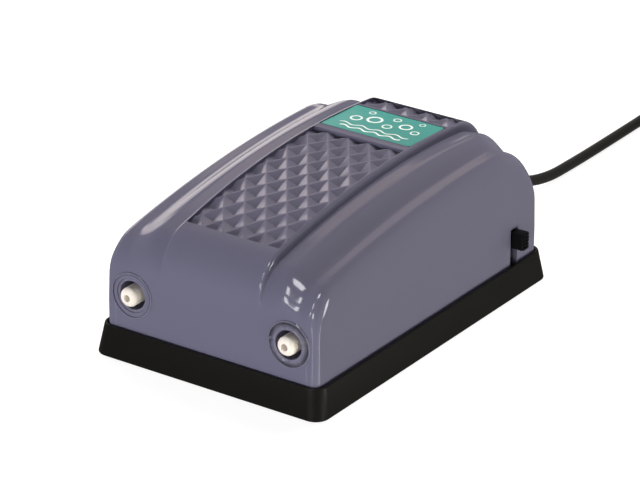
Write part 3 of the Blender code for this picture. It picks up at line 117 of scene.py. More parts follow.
def edit(piece: bpy.types.Object) -> bmesh.types.BMesh:
    """Open a piece in edit mode with nothing selected.

    Args:
        piece: The object to open.

    Returns:
        The piece's edit mesh.
    """
    take(piece)
    bpy.ops.object.mode_set(mode="EDIT")
    bpy.ops.mesh.select_all(action="DESELECT")
    return bmesh.from_edit_mesh(piece.data)


def done(piece: bpy.types.Object) -> None:
    """Close edit mode."""
    bpy.ops.object.mode_set(mode="OBJECT")
    piece.data.update()


class Part(Enum):
    """What a selection is made of."""

    FACE = "faces"
    EDGE = "edges"


def pick(piece: bpy.types.Object, part: Part, test: Callable[..., bool]) -> None:
    """Select the faces or edges of the open piece that pass a test, and nothing else.

    Args:
        piece: The object in edit mode.
        part: Whether faces or edges are picked.
        test: Says whether a face or an edge is wanted.
    """
    bpy.ops.mesh.select_mode(type=part.name)
    bpy.ops.mesh.select_all(action="DESELECT")
    shape = bmesh.from_edit_mesh(piece.data)
    if part is Part.FACE:
        shape.normal_update()
    for item in getattr(shape, part.value):
        if test(item):
            item.select_set(True)
    bmesh.update_edit_mesh(piece.data)


def upright(edge: bmesh.types.BMEdge, axis: int = 2) -> bool:
    """Say whether an edge of a plain box runs along an axis: Z, or the one given."""
    return abs(edge.verts[0].co[axis] - edge.verts[1].co[axis]) > UPRIGHT_LEAST


def reshape(piece: bpy.types.Object, move: Callable[[Vector], None], picked: bool = False) -> None:
    """Move the points of the open piece one by one.

    Args:
        piece: The object in edit mode.
        move: Changes a point's place.
        picked: Whether only the selected points move.
    """
    shape = bmesh.from_edit_mesh(piece.data)
    for vert in shape.verts:
        if vert.select or not picked:
            move(vert.co)
    bmesh.update_edit_mesh(piece.data)


def slice_open(place: Sequence[float], way: Sequence[float], clear: bool = False) -> None:
    """Cut all of the open piece with a plane.

    Args:
        place: A point on the plane.
        way: The plane's normal.
        clear: Whether what lies beyond the plane, the way its normal points, goes.
    """
    bpy.ops.mesh.select_all(action="SELECT")
    bpy.ops.mesh.bisect(plane_co=place, plane_no=way, clear_outer=clear)


def face_outwards() -> None:
    """Turn all faces of the open piece outwards."""
    bpy.ops.mesh.select_all(action="SELECT")
    bpy.ops.mesh.normals_make_consistent(inside=False)


def extrude_down() -> None:
    """Extrude the selected edges a little way down, to be moved to their level next."""
    bpy.ops.mesh.extrude_region_move(TRANSFORM_OT_translate={"value": (0, 0, -MM)})


def apply_modifiers(piece: bpy.types.Object) -> None:
    """Apply all of a piece's modifiers in their order."""
    take(piece)
    for modifier in list(piece.modifiers):
        bpy.ops.object.modifier_apply(modifier=modifier.name)


def cut(
    piece: bpy.types.Object, tool: bpy.types.Object, operation: str = "DIFFERENCE"
) -> None:
    """Cut a tool out of a piece, or join it on, and remove the tool.

    Args:
        piece: The piece that stays.
        tool: A closed shape.
        operation: The Boolean operation's name.
    """
    step = piece.modifiers.new("cut", "BOOLEAN")
    step.operation = operation
    step.solver = "EXACT"
    step.object = tool
    apply_modifiers(piece)
    mesh = tool.data
    bpy.data.objects.remove(tool)
    bpy.data.meshes.remove(mesh)


def bevel_edges(
    piece: bpy.types.Object, width: float, segments: int = 3, angle: float = 35.0
) -> None:
    """Round the sharp edges of a piece.

    Args:
        piece: The piece to finish.
        width: The rounding's width.
        segments: How many strips make the rounding.
        angle: Edges sharper than this many degrees are rounded.
    """
    step = piece.modifiers.new("rounding", "BEVEL")
    step.width = width
    step.segments = segments
    step.limit_method = "ANGLE"
    step.angle_limit = math.radians(angle)
    apply_modifiers(piece)


def smooth(piece: bpy.types.Object, angle: float = 32.0) -> None:
    """Shade a piece smooth, with its sharper edges kept crisp."""
    take(piece)
    bpy.ops.object.shade_smooth_by_angle(angle=math.radians(angle))


def settle(
    piece: bpy.types.Object, material: bpy.types.Material, body: str
) -> None:
    """Apply a piece's place, give it its finish and let it ride on a body.

    Args:
        piece: The finished piece.
        material: The finish.
        body: The body it moves with.
    """
    take(piece)
    bpy.ops.object.transform_apply(location=True, rotation=True, scale=True)
    piece.data.materials.clear()
    piece.data.materials.append(material)
    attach(piece, body)
    LOG.info("made %s: %d faces", piece.name, len(getattr(piece.data, "polygons", ())))


def block(name: str, low: Sequence[float], high: Sequence[float]) -> bpy.types.Object:
    """Add a box between two corners.

    Args:
        name: The piece's name.
        low: The lowest corner.
        high: The highest corner.

    Returns:
        The new object, with its size and place applied.
    """
    deselect_all()
    middle = (Vector(low) + Vector(high)) / 2
    bpy.ops.mesh.primitive_cube_add(size=1.0, location=middle)
    piece = added(name)
    piece.scale = Vector(high) - Vector(low)
    bpy.ops.object.transform_apply(location=True, rotation=True, scale=True)
    return piece


class Axis(Enum):
    """The way that a turned piece's own +Z points."""

    UP = (0.0, 0.0, 0.0)
    RIGHT = (0.0, math.pi / 2, 0.0)
    LEFT = (0.0, -math.pi / 2, 0.0)
    REAR = (-math.pi / 2, 0.0, 0.0)


def turned(
    name: str,
    profile: Sequence[tuple[float, float]],
    start: Sequence[float],
    axis: Axis,
    steps: int = 48,
) -> bpy.types.Object:
    """Draw a profile point by point and spin it round.

    Args:
        name: The piece's name.
        profile: Radius and height pairs. A first and last point in one place make a ring.
        start: Where the profile's height is zero on the axis.
        axis: The way the height runs.
        steps: How many steps the spin takes.

    Returns:
        The turned piece, with its place applied.
    """
    deselect_all()
    bpy.ops.mesh.primitive_plane_add(size=MM)
    piece = added(name)
    shape = edit(piece)
    bpy.ops.mesh.select_mode(type="VERT")
    for vert in list(shape.verts)[1:]:
        vert.select_set(True)
    bpy.ops.mesh.delete(type="VERT")
    shape = bmesh.from_edit_mesh(piece.data)
    shape.verts.ensure_lookup_table()
    shape.verts[0].co = (profile[0][0], 0.0, profile[0][1])
    shape.verts[0].select_set(True)
    bmesh.update_edit_mesh(piece.data)
    for (r0, h0), (r1, h1) in zip(profile, profile[1:], strict=False):
        bpy.ops.mesh.extrude_region_move(
            TRANSFORM_OT_translate={"value": (r1 - r0, 0.0, h1 - h0)}
        )
    bpy.ops.mesh.select_all(action="SELECT")
    bpy.ops.mesh.spin(steps=steps, angle=math.tau, center=(0, 0, 0), axis=(0, 0, 1))
    bpy.ops.mesh.select_all(action="SELECT")
    bpy.ops.mesh.remove_doubles(threshold=MERGE_WITHIN)
    bpy.ops.mesh.dissolve_degenerate(threshold=MERGE_WITHIN / 2)
    face_outwards()
    done(piece)
    piece.rotation_euler = axis.value
    piece.location = start
    take(piece)
    bpy.ops.object.transform_apply(location=True, rotation=True, scale=True)
    return piece


def rod(
    name: str,
    radius: float,
    length: float,
    start: Sequence[float],
    axis: Axis,
    steps: int = 48,
) -> bpy.types.Object:
    """Turn a plain rod, as a tool to cut with or to join on."""
    profile = [(0.0, 0.0), (radius, 0.0), (radius, length), (0.0, length)]
    return turned(name, profile, start, axis, steps)


# ---------------------------------------------------------------- finishes
class Pattern(Enum):
    """What a finish shows close up."""

    MOULDED = "moulded"
    BRUSHED = "brushed"
    WOUND = "wound"
    LAMINATED = "laminated"
    FELTED = "felted"


def new_group(name: str, sockets: Iterable[tuple[str, str, str]]) -> bpy.types.NodeTree:
    """Start a shared shader group.

    Args:
        name: The group's name.
        sockets: Name, direction and socket type of each socket.

    Returns:
        The group with its input and output nodes, named "in" and "out".
    """
    group = bpy.data.node_groups.new(name, "ShaderNodeTree")
    for label, way, kind in sockets:
        group.interface.new_socket(name=label, in_out=way, socket_type=kind)
    group.nodes.new("NodeGroupInput").name = "in"
    group.nodes.new("NodeGroupOutput").name = "out"
    return group


class SharedNodes:
    """The node groups that several finishes use."""

    fine_ratio = 7.3
    fine_share = 0.4
    edge_range = (0.53, 0.62)
    rub_and_highlight_scale = 260.0

    def __init__(self) -> None:
        """Build each group once."""
        self.mottle = self.build_mottle()
        self.grain = self.build_grain()
        self.wear_and_highlight = self.build_wear_and_highlight()

    def build_mottle(self) -> bpy.types.NodeTree:
        """A soft, two-size variation from 0 to 1 over a surface."""
        group = new_group(
            "mottle",
            [("Scale", "INPUT", "NodeSocketFloat"), ("Value", "OUTPUT", "NodeSocketFloat")],
        )
        nodes, links = group.nodes, group.links
        place = nodes.new("ShaderNodeTexCoord")
        broad = nodes.new("ShaderNodeTexNoise")
        fine = nodes.new("ShaderNodeTexNoise")
        times = nodes.new("ShaderNodeMath")
        times.operation = "MULTIPLY"
        times.inputs[1].default_value = self.fine_ratio
        both = nodes.new("ShaderNodeMix")
        both.inputs[0].default_value = self.fine_share
        for texture in (broad, fine):
            texture.inputs["Detail"].default_value = 3.0
            links.new(place.outputs["Object"], texture.inputs["Vector"])
        links.new(nodes["in"].outputs["Scale"], broad.inputs["Scale"])
        links.new(nodes["in"].outputs["Scale"], times.inputs[0])
        links.new(times.outputs[0], fine.inputs["Scale"])
        links.new(broad.outputs["Fac"], both.inputs[2])
        links.new(fine.outputs["Fac"], both.inputs[3])
        links.new(both.outputs[0], nodes["out"].inputs["Value"])
        return group

    def build_grain(self) -> bpy.types.NodeTree:
        """The fine unevenness of a moulded surface, as a normal."""
        group = new_group(
            "grain",
            [
                ("Scale", "INPUT", "NodeSocketFloat"),
                ("Depth", "INPUT", "NodeSocketFloat"),
                ("Normal", "OUTPUT", "NodeSocketVector"),
            ],
        )
        nodes, links = group.nodes, group.links
        place = nodes.new("ShaderNodeTexCoord")
        noise = nodes.new("ShaderNodeTexNoise")
        noise.inputs["Detail"].default_value = 2.0
        bump = nodes.new("ShaderNodeBump")
        bump.inputs["Strength"].default_value = 1.0
        links.new(place.outputs["Object"], noise.inputs["Vector"])
        links.new(nodes["in"].outputs["Scale"], noise.inputs["Scale"])
        links.new(noise.outputs["Fac"], bump.inputs["Height"])
        links.new(nodes["in"].outputs["Depth"], bump.inputs["Distance"])
        links.new(bump.outputs["Normal"], nodes["out"].inputs["Normal"])
        return group

    def build_wear_and_highlight(self) -> bpy.types.NodeTree:
        """A mask that is 1 on sharp edges: the edges that hands and shelves rub, and on the
        patterned panel the ridge lines that take a painted highlight.
        """
        group = new_group(
            "edge_wear",
            [("Amount", "INPUT", "NodeSocketFloat"), ("Mask", "OUTPUT", "NodeSocketFloat")],
        )
        nodes, links = group.nodes, group.links
        shape = nodes.new("ShaderNodeNewGeometry")
        ramp = nodes.new("ShaderNodeMapRange")
        ramp.inputs["From Min"].default_value = self.edge_range[0]
        ramp.inputs["From Max"].default_value = self.edge_range[1]
        place = nodes.new("ShaderNodeTexCoord")
        noise = nodes.new("ShaderNodeTexNoise")
        noise.inputs["Scale"].default_value = self.rub_and_highlight_scale
        rough = nodes.new("ShaderNodeMath")
        rough.operation = "MULTIPLY"
        amount = nodes.new("ShaderNodeMath")
        amount.operation = "MULTIPLY"
        links.new(shape.outputs["Pointiness"], ramp.inputs["Value"])
        links.new(place.outputs["Object"], noise.inputs["Vector"])
        links.new(ramp.outputs["Result"], rough.inputs[0])
        links.new(noise.outputs["Fac"], rough.inputs[1])
        links.new(rough.outputs[0], amount.inputs[0])
        links.new(nodes["in"].outputs["Amount"], amount.inputs[1])
        links.new(amount.outputs[0], nodes["out"].inputs["Mask"])
        return group


@dataclass(frozen=True)
class Finish:
    """One material's colour, gloss and close-up detail."""

    name: str
    slot: str
    colour: Colour
    roughness: float
    pattern: Pattern = Pattern.MOULDED
    variation: float = 0.06
    mottle_scale: float = 60.0
    grain_scale: float = 1500.0
    grain_depth: float = 0.000004
    worn_and_highlight: Colour = (0.5, 0.5, 0.5)
    wear_and_highlight: float = 0.15
    metallic: float = 0.0
    specular: float = 0.5
    sheen: float = 0.0
    pitch: float = 0.0004
    along: str = "Z"
    gloss_spread: float = 0.1
    brush_stretch: Point = (1.0, 0.06, 1.0)
    band_ratio: float = 20.0
    band_distortion: float = 0.15

    def build(self, shared: SharedNodes) -> bpy.types.Material:
        """Make the material.

        Args:
            shared: The node groups used by all finishes.

        Returns:
            The finished material.
        """
        made = bpy.data.materials.new(self.name)
        made.use_nodes = True
        nodes, links = made.node_tree.nodes, made.node_tree.links
        shader = nodes["Principled BSDF"]
        shader.inputs["Metallic"].default_value = self.metallic
        shader.inputs["Specular IOR Level"].default_value = self.specular
        shader.inputs["Sheen Weight"].default_value = self.sheen
        mottle = nodes.new("ShaderNodeGroup")
        mottle.node_tree = shared.mottle
        mottle.inputs["Scale"].default_value = self.mottle_scale
        wear_and_highlight = nodes.new("ShaderNodeGroup")
        wear_and_highlight.node_tree = shared.wear_and_highlight
        wear_and_highlight.inputs["Amount"].default_value = self.wear_and_highlight
        tint = nodes.new("ShaderNodeMix")
        tint.data_type = "RGBA"
        low = tuple(c * (1 - self.variation) for c in self.colour)
        high = tuple(c * (1 + self.variation) for c in self.colour)
        tint.inputs[6].default_value = (*low, 1.0)
        tint.inputs[7].default_value = (*high, 1.0)
        # Lays the edge colour on sharp edges: real wear on most finishes, a painted highlight on
        # the patterned panel's ridges.
        rubbed_and_highlit = nodes.new("ShaderNodeMix")
        rubbed_and_highlit.data_type = "RGBA"
        rubbed_and_highlit.inputs[7].default_value = (*self.worn_and_highlight, 1.0)
        links.new(mottle.outputs["Value"], tint.inputs[0])
        links.new(wear_and_highlight.outputs["Mask"], rubbed_and_highlit.inputs[0])
        links.new(tint.outputs[2], rubbed_and_highlit.inputs[6])
        links.new(rubbed_and_highlit.outputs[2], shader.inputs["Base Color"])
        gloss = nodes.new("ShaderNodeMapRange")
        gloss.inputs["To Min"].default_value = self.roughness * (1 - self.gloss_spread)
        gloss.inputs["To Max"].default_value = self.roughness * (1 + self.gloss_spread)
        links.new(mottle.outputs["Value"], gloss.inputs["Value"])
        links.new(gloss.outputs["Result"], shader.inputs["Roughness"])
        self.add_detail(made, shared)
        return made

    def add_detail(self, made: bpy.types.Material, shared: SharedNodes) -> None:
        """Add the relief that the pattern asks for.

        Args:
            made: The material in the making.
            shared: The node groups used by all finishes.
        """
        nodes, links = made.node_tree.nodes, made.node_tree.links
        shader = nodes["Principled BSDF"]
        if self.pattern in (Pattern.MOULDED, Pattern.FELTED):
            grain = nodes.new("ShaderNodeGroup")
            grain.node_tree = shared.grain
            grain.inputs["Scale"].default_value = self.grain_scale
            grain.inputs["Depth"].default_value = self.grain_depth
            links.new(grain.outputs["Normal"], shader.inputs["Normal"])
            return
        place = nodes.new("ShaderNodeTexCoord")
        stretch = nodes.new("ShaderNodeMapping")
        bump = nodes.new("ShaderNodeBump")
        bump.inputs["Distance"].default_value = self.grain_depth
        links.new(place.outputs["Object"], stretch.inputs["Vector"])
        if self.pattern is Pattern.BRUSHED:
            texture = nodes.new("ShaderNodeTexNoise")
            texture.inputs["Scale"].default_value = self.grain_scale
            stretch.inputs["Scale"].default_value = self.brush_stretch
        else:
            texture = nodes.new("ShaderNodeTexWave")
            texture.bands_direction = self.along
            texture.inputs["Scale"].default_value = 1.0 / (self.pitch * self.band_ratio)
            texture.inputs["Distortion"].default_value = self.band_distortion
        links.new(stretch.outputs["Vector"], texture.inputs["Vector"])
        links.new(texture.outputs["Fac"], bump.inputs["Height"])
        links.new(bump.outputs["Normal"], shader.inputs["Normal"])


HOUSING = Finish(
    "slate_gloss",
    "housing_plastic",
    (0.125, 0.120, 0.178),
    0.11,
    variation=0.03,
    grain_scale=420.0,
    grain_depth=0.000003,
    worn_and_highlight=(0.32, 0.31, 0.38),
    wear_and_highlight=0.25,
)
# A lighter copy of the housing plastic for the patterned panels: its lighter colour is painted
# light, and its pale edge colour on the ridges is a painted highlight that stands in for the thin
# bright ridge lines.
FACETS_PAINTED_LIGHT = replace(
    HOUSING,
    name="slate_facets",
    colour=(0.137, 0.131, 0.193),
    worn_and_highlight=(0.55, 0.49, 0.50),
    wear_and_highlight=1.6,
)
BOOT = Finish(
    "boot_black_rubber",
    "boot_rubber",
    (0.0052, 0.0049, 0.0040),
    0.42,
    variation=0.15,
    grain_scale=2600.0,
    grain_depth=0.000012,
    worn_and_highlight=(0.030, 0.028, 0.024),
    wear_and_highlight=0.6,
    specular=0.20,
)
CORD = Finish(
    "cord_black_vinyl",
    "cord_rubber",
    (0.0100, 0.0095, 0.0090),
    0.33,
    variation=0.12,
    grain_scale=2200.0,
    grain_depth=0.000006,
    worn_and_highlight=(0.03, 0.03, 0.03),
    wear_and_highlight=0.3,
)
KNOB = Finish(
    "matt_black_plastic",
    "black_plastic",
    (0.0012, 0.0012, 0.0013),
    0.35,
    grain_scale=3000.0,
    grain_depth=0.000008,
    worn_and_highlight=(0.010, 0.010, 0.010),
    wear_and_highlight=0.4,
    specular=0.18,
)
IVORY = Finish(
    "ivory_nylon",
    "ivory_plastic",
    (0.84, 0.77, 0.70),
    0.38,
    variation=0.03,
    grain_scale=2000.0,
    worn_and_highlight=(0.9, 0.86, 0.8),
    wear_and_highlight=0.2,
)
GREY = Finish("grey_moulding", "grey_plastic", (0.30, 0.31, 0.32), 0.45)
TEAL = Finish(
    "teal_label_film",
    "label_teal",
    (0.050, 0.262, 0.240),
    0.38,
    variation=0.04,
    grain_depth=0.000003,
    wear_and_highlight=0.0,
    specular=0.20,
)
PRINT = Finish(
    "white_print",
    "label_teal",
    (0.78, 0.86, 0.84),
    0.40,
    variation=0.02,
    wear_and_highlight=0.0,
)
DIAPHRAGM = Finish("diaphragm_rubber", "soft_rubber", (0.028, 0.028, 0.030), 0.55)
STEEL = Finish(
    "plated_steel",
    "steel",
    (0.55, 0.56, 0.58),
    0.28,
    Pattern.BRUSHED,
    metallic=1.0,
    grain_scale=3000.0,
)
CORE = Finish(
    "core_laminations",
    "core_steel",
    (0.26, 0.27, 0.29),
    0.38,
    Pattern.LAMINATED,
    metallic=1.0,
    grain_depth=0.00010,
    pitch=0.0005,
)
COPPER = Finish(
    "enamelled_copper",
    "winding_copper",
    (0.52, 0.17, 0.06),
    0.26,
    Pattern.WOUND,
    metallic=0.9,
    grain_depth=0.00010,
    pitch=0.00035,
    along="Y",
)
FERRITE = Finish("ferrite_block", "magnet_ferrite", (0.05, 0.05, 0.055), 0.45)
FELT = Finish(
    "filter_felt",
    "filter_felt",
    (0.60, 0.58, 0.53),
    0.95,
    Pattern.FELTED,
    variation=0.15,
    grain_scale=3500.0,
    grain_depth=0.00012,
    sheen=0.3,
)
LEAD = Finish("red_sleeving", "lead_sleeving", (0.35, 0.03, 0.02), 0.40)
ALL_FINISHES = (
    HOUSING, FACETS_PAINTED_LIGHT, BOOT, CORD, KNOB, IVORY, GREY, TEAL, PRINT,
    DIAPHRAGM, STEEL, CORE, COPPER, FERRITE, FELT, LEAD,
)


class Paintbox:
    """All the finishes, made once and handed out by name."""

    def __init__(self) -> None:
        """Build every finish."""
        shared = SharedNodes()
        self.made = {finish.name: finish.build(shared) for finish in ALL_FINISHES}
        self.by_slot = {f.slot: self.made[f.name] for f in reversed(ALL_FINISHES)}

    def __getitem__(self, finish: Finish) -> bpy.types.Material:
        """Return a finish's material."""
        return self.made[finish.name]

    def dress_frame(self, nodes: dict[str, bpy.types.Object], record: dict) -> None:
        """Give each CAD node the finish of its slot.

        Args:
            nodes: The frame's nodes.
            record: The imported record, which says each node's slot.
        """
        slots = {part["node"]: part["material_slot"] for part in record["subparts"]}
        for name, node in nodes.items():
            finish = self.by_slot[slots[name]]
            if node.material_slots:
                for held in node.material_slots:
                    held.material = finish
            else:
                node.data.materials.append(finish)


# ---------------------------------------------------------------- the housing's form
def ease(value: float, start: float, end: float) -> float:
    """Rise smoothly from 0 at `start` to 1 at `end`."""
    share = min(max((value - start) / (end - start), 0.0), 1.0)
    return share * share * (3 - 2 * share)


def fallen(reach: float, run: float, drop: float) -> float:
    """Say how far a rounded edge has fallen, `reach` along its `run`."""
    share = min(max(reach / run, 0.0), 1.0)
    return drop * (1 - math.sqrt(1 - share * share))


def spaced(start: float, end: float, count: int) -> list[float]:
    """List evenly spaced values from start to end, both included."""
    return [start + (end - start) * step / count for step in range(count + 1)]


def rounding_stops(end: float, radius: float, count: int) -> list[float]:
    """List places along a rounding that ends at `end`, closer where it is steep."""
    turns = [math.pi / 2 * step / count for step in range(count + 1)]
    return [end - radius * (1 - math.sin(turn)) for turn in turns]


@dataclass(frozen=True)
class HousingForm:
    """The shape of the shell's top: an arched middle band between longer, lower ridges."""

    half_width: float = 0.0362
    half_length: float = 0.056825
    foot: float = 0.0023
    rim: float = 0.0092
    wall: float = 0.0020
    corner: float = 0.0025
    taper: float = 0.020
    taper_depth: float = 0.012
    band_top: float = 0.0494
    band_crest: float = 0.020
    band_radius: float = 0.270
    band_half: float = 0.0168
    lip: float = 0.0011
    step: float = 0.0022
    step_run: float = 0.0004
    ridge_top: float = 0.0445
    ridge_crest: float = 0.033
    ridge_radius: float = 0.400
    flank_start: float = 0.0215
    flank_end: float = 0.0305
    flank_drop: float = 0.0034
    shoulder_run: float = 0.0038
    shoulder_drop: float = 0.0060
    front_roll: float = 0.009
    rear_roll_band: float = 0.012
    rear_roll_ridge: float = 0.015
    rear_roll_edge: float = 0.020
    panel_half: float = 0.0156
    ceiling_drop: float = 0.0036
    ceiling_step: float = 0.0012
    band_columns: int = 10
    lip_columns: int = 4
    ridge_columns: int = 8
    flank_columns: int = 18
    shoulder_columns: int = 14
    front_rows: int = 18
    middle_rows: int = 40
    rear_rows: int = 26

    def ceiling(self) -> HousingForm:
        """Give the form of the shell's inside, which follows the outside more softly."""
        return replace(
            self,
            half_width=self.half_width - self.wall,
            half_length=self.half_length - self.wall,
            foot=self.foot - self.wall,
            corner=self.corner / 3,
            band_top=self.band_top - self.ceiling_drop,
            ridge_top=self.ridge_top + self.step - self.ceiling_step - self.ceiling_drop,
            band_half=self.band_half - self.wall,
            lip=self.lip / 10,
            step=self.ceiling_step,
            step_run=self.wall,
            flank_start=self.flank_start - self.wall,
            flank_end=self.flank_end - self.wall,
            shoulder_run=self.shoulder_run + self.wall,
            front_roll=self.front_roll - self.wall / 2,
            panel_half=self.panel_half - self.wall,
        )

    def band(self, y: float) -> float:
        """Height of the middle band's arc."""
        return self.band_top - (y - self.band_crest) ** 2 / (2 * self.band_radius)

    def ridge(self, y: float) -> float:
        """Height of the ridges' longer arc."""
        return self.ridge_top - (y - self.ridge_crest) ** 2 / (2 * self.ridge_radius)

    def rear_roll(self, x: float) -> float:
        """Radius of the rear roll-over, which grows towards the sides."""
        stepped = ease(x, self.band_half, self.band_half + self.step_run)
        outward = ease(x, self.flank_start, self.flank_end)
        return (
            self.rear_roll_band
            + (self.rear_roll_ridge - self.rear_roll_band) * stepped
            + (self.rear_roll_edge - self.rear_roll_ridge) * outward
        )

    def height(self, x: float, y: float) -> float:
        """Height of the outside over a point, before the walls lean.

        Args:
            x: Distance from the middle plane, either sign.
            y: Place along the length.

        Returns:
            The height above the surface the pump stands on.
        """
        x = abs(x)
        outward = ease(x, self.band_half, self.flank_end)
        shelf = self.ridge(y) + self.step + self.flank_drop
        height = self.band(y) * (1 - outward) + shelf * outward
        if x > self.band_half:
            share = min((x - self.band_half) / self.step_run, 1.0)
            height -= self.lip + (self.step - self.lip) * share
        else:
            height -= fallen(x - self.band_half + self.lip, self.lip, self.lip)
        height -= self.flank_drop * ease(x, self.flank_start, self.flank_end)
        run = self.shoulder_run
        height -= fallen(x - self.half_width + run, run, self.shoulder_drop)
        front = self.front_roll
        height -= fallen(-y - self.half_length + front, front, front)
        rear = self.rear_roll(x)
        height -= fallen(y - self.half_length + rear, rear, rear)
        return height

    def columns(self) -> list[float]:
        """List the grid's columns from one side wall to the other."""
        ridge_start = self.band_half + self.step_run
        half = spaced(0.0, self.panel_half, self.band_columns)
        half += rounding_stops(self.band_half, self.lip, self.lip_columns)
        half += [self.band_half + self.step_run * share for share in (0.5, 1.0)]
        half += spaced(ridge_start, self.flank_start, self.ridge_columns)[1:]
        half += spaced(self.flank_start, self.flank_end, self.flank_columns)[1:]
        half += rounding_stops(self.half_width, self.shoulder_run, self.shoulder_columns)
        half = sorted({round(value, 7) for value in half if value >= 0})
        return [-value for value in reversed(half[1:])] + half

    def rows(self) -> list[float]:
        """List the grid's rows from the front wall to the rear wall."""
        stops = rounding_stops(self.half_length, self.front_roll, self.front_rows)
        front = [-y for y in reversed(stops)]
        rear = rounding_stops(self.half_length, self.rear_roll_edge, self.rear_rows)
        return front + spaced(front[-1], rear[0], self.middle_rows)[1:-1] + rear

    def outer_wall_y(self, z: float) -> float:
        """Distance from the middle to an end wall's outside at a height."""
        return self.half_length - self.taper * (z - self.rim)

    def lean(self, place: Vector) -> None:
        """Lean a point near a wall inwards with its height.

        Args:
            place: The point, which is moved.
        """
        lean = self.taper * (place.z - self.rim)
        for axis, half in ((0, self.half_width), (1, self.half_length)):
            share = ease(abs(place[axis]), half - self.taper_depth, half)
            place[axis] -= math.copysign(lean * share, place[axis])

    def place(self, x: float, y: float) -> Point:
        """Give the point over a grid crossing, with the upright corners rounded.

        Args:
            x: The crossing's place across.
            y: The crossing's place along the length.

        Returns:
            The point on the form's surface.
        """
        into = max(abs(y) - self.half_length + self.corner, 0.0)
        narrowing = self.corner - math.sqrt(max(self.corner**2 - into**2, 0.0))
        keep = self.half_width - self.shoulder_run - self.corner
        height = self.height(x, y)
        if abs(x) > keep:
            reach = (self.half_width - narrowing - keep) / (self.half_width - keep)
            x = math.copysign(keep + (abs(x) - keep) * reach, x)
        return (x, y, height)


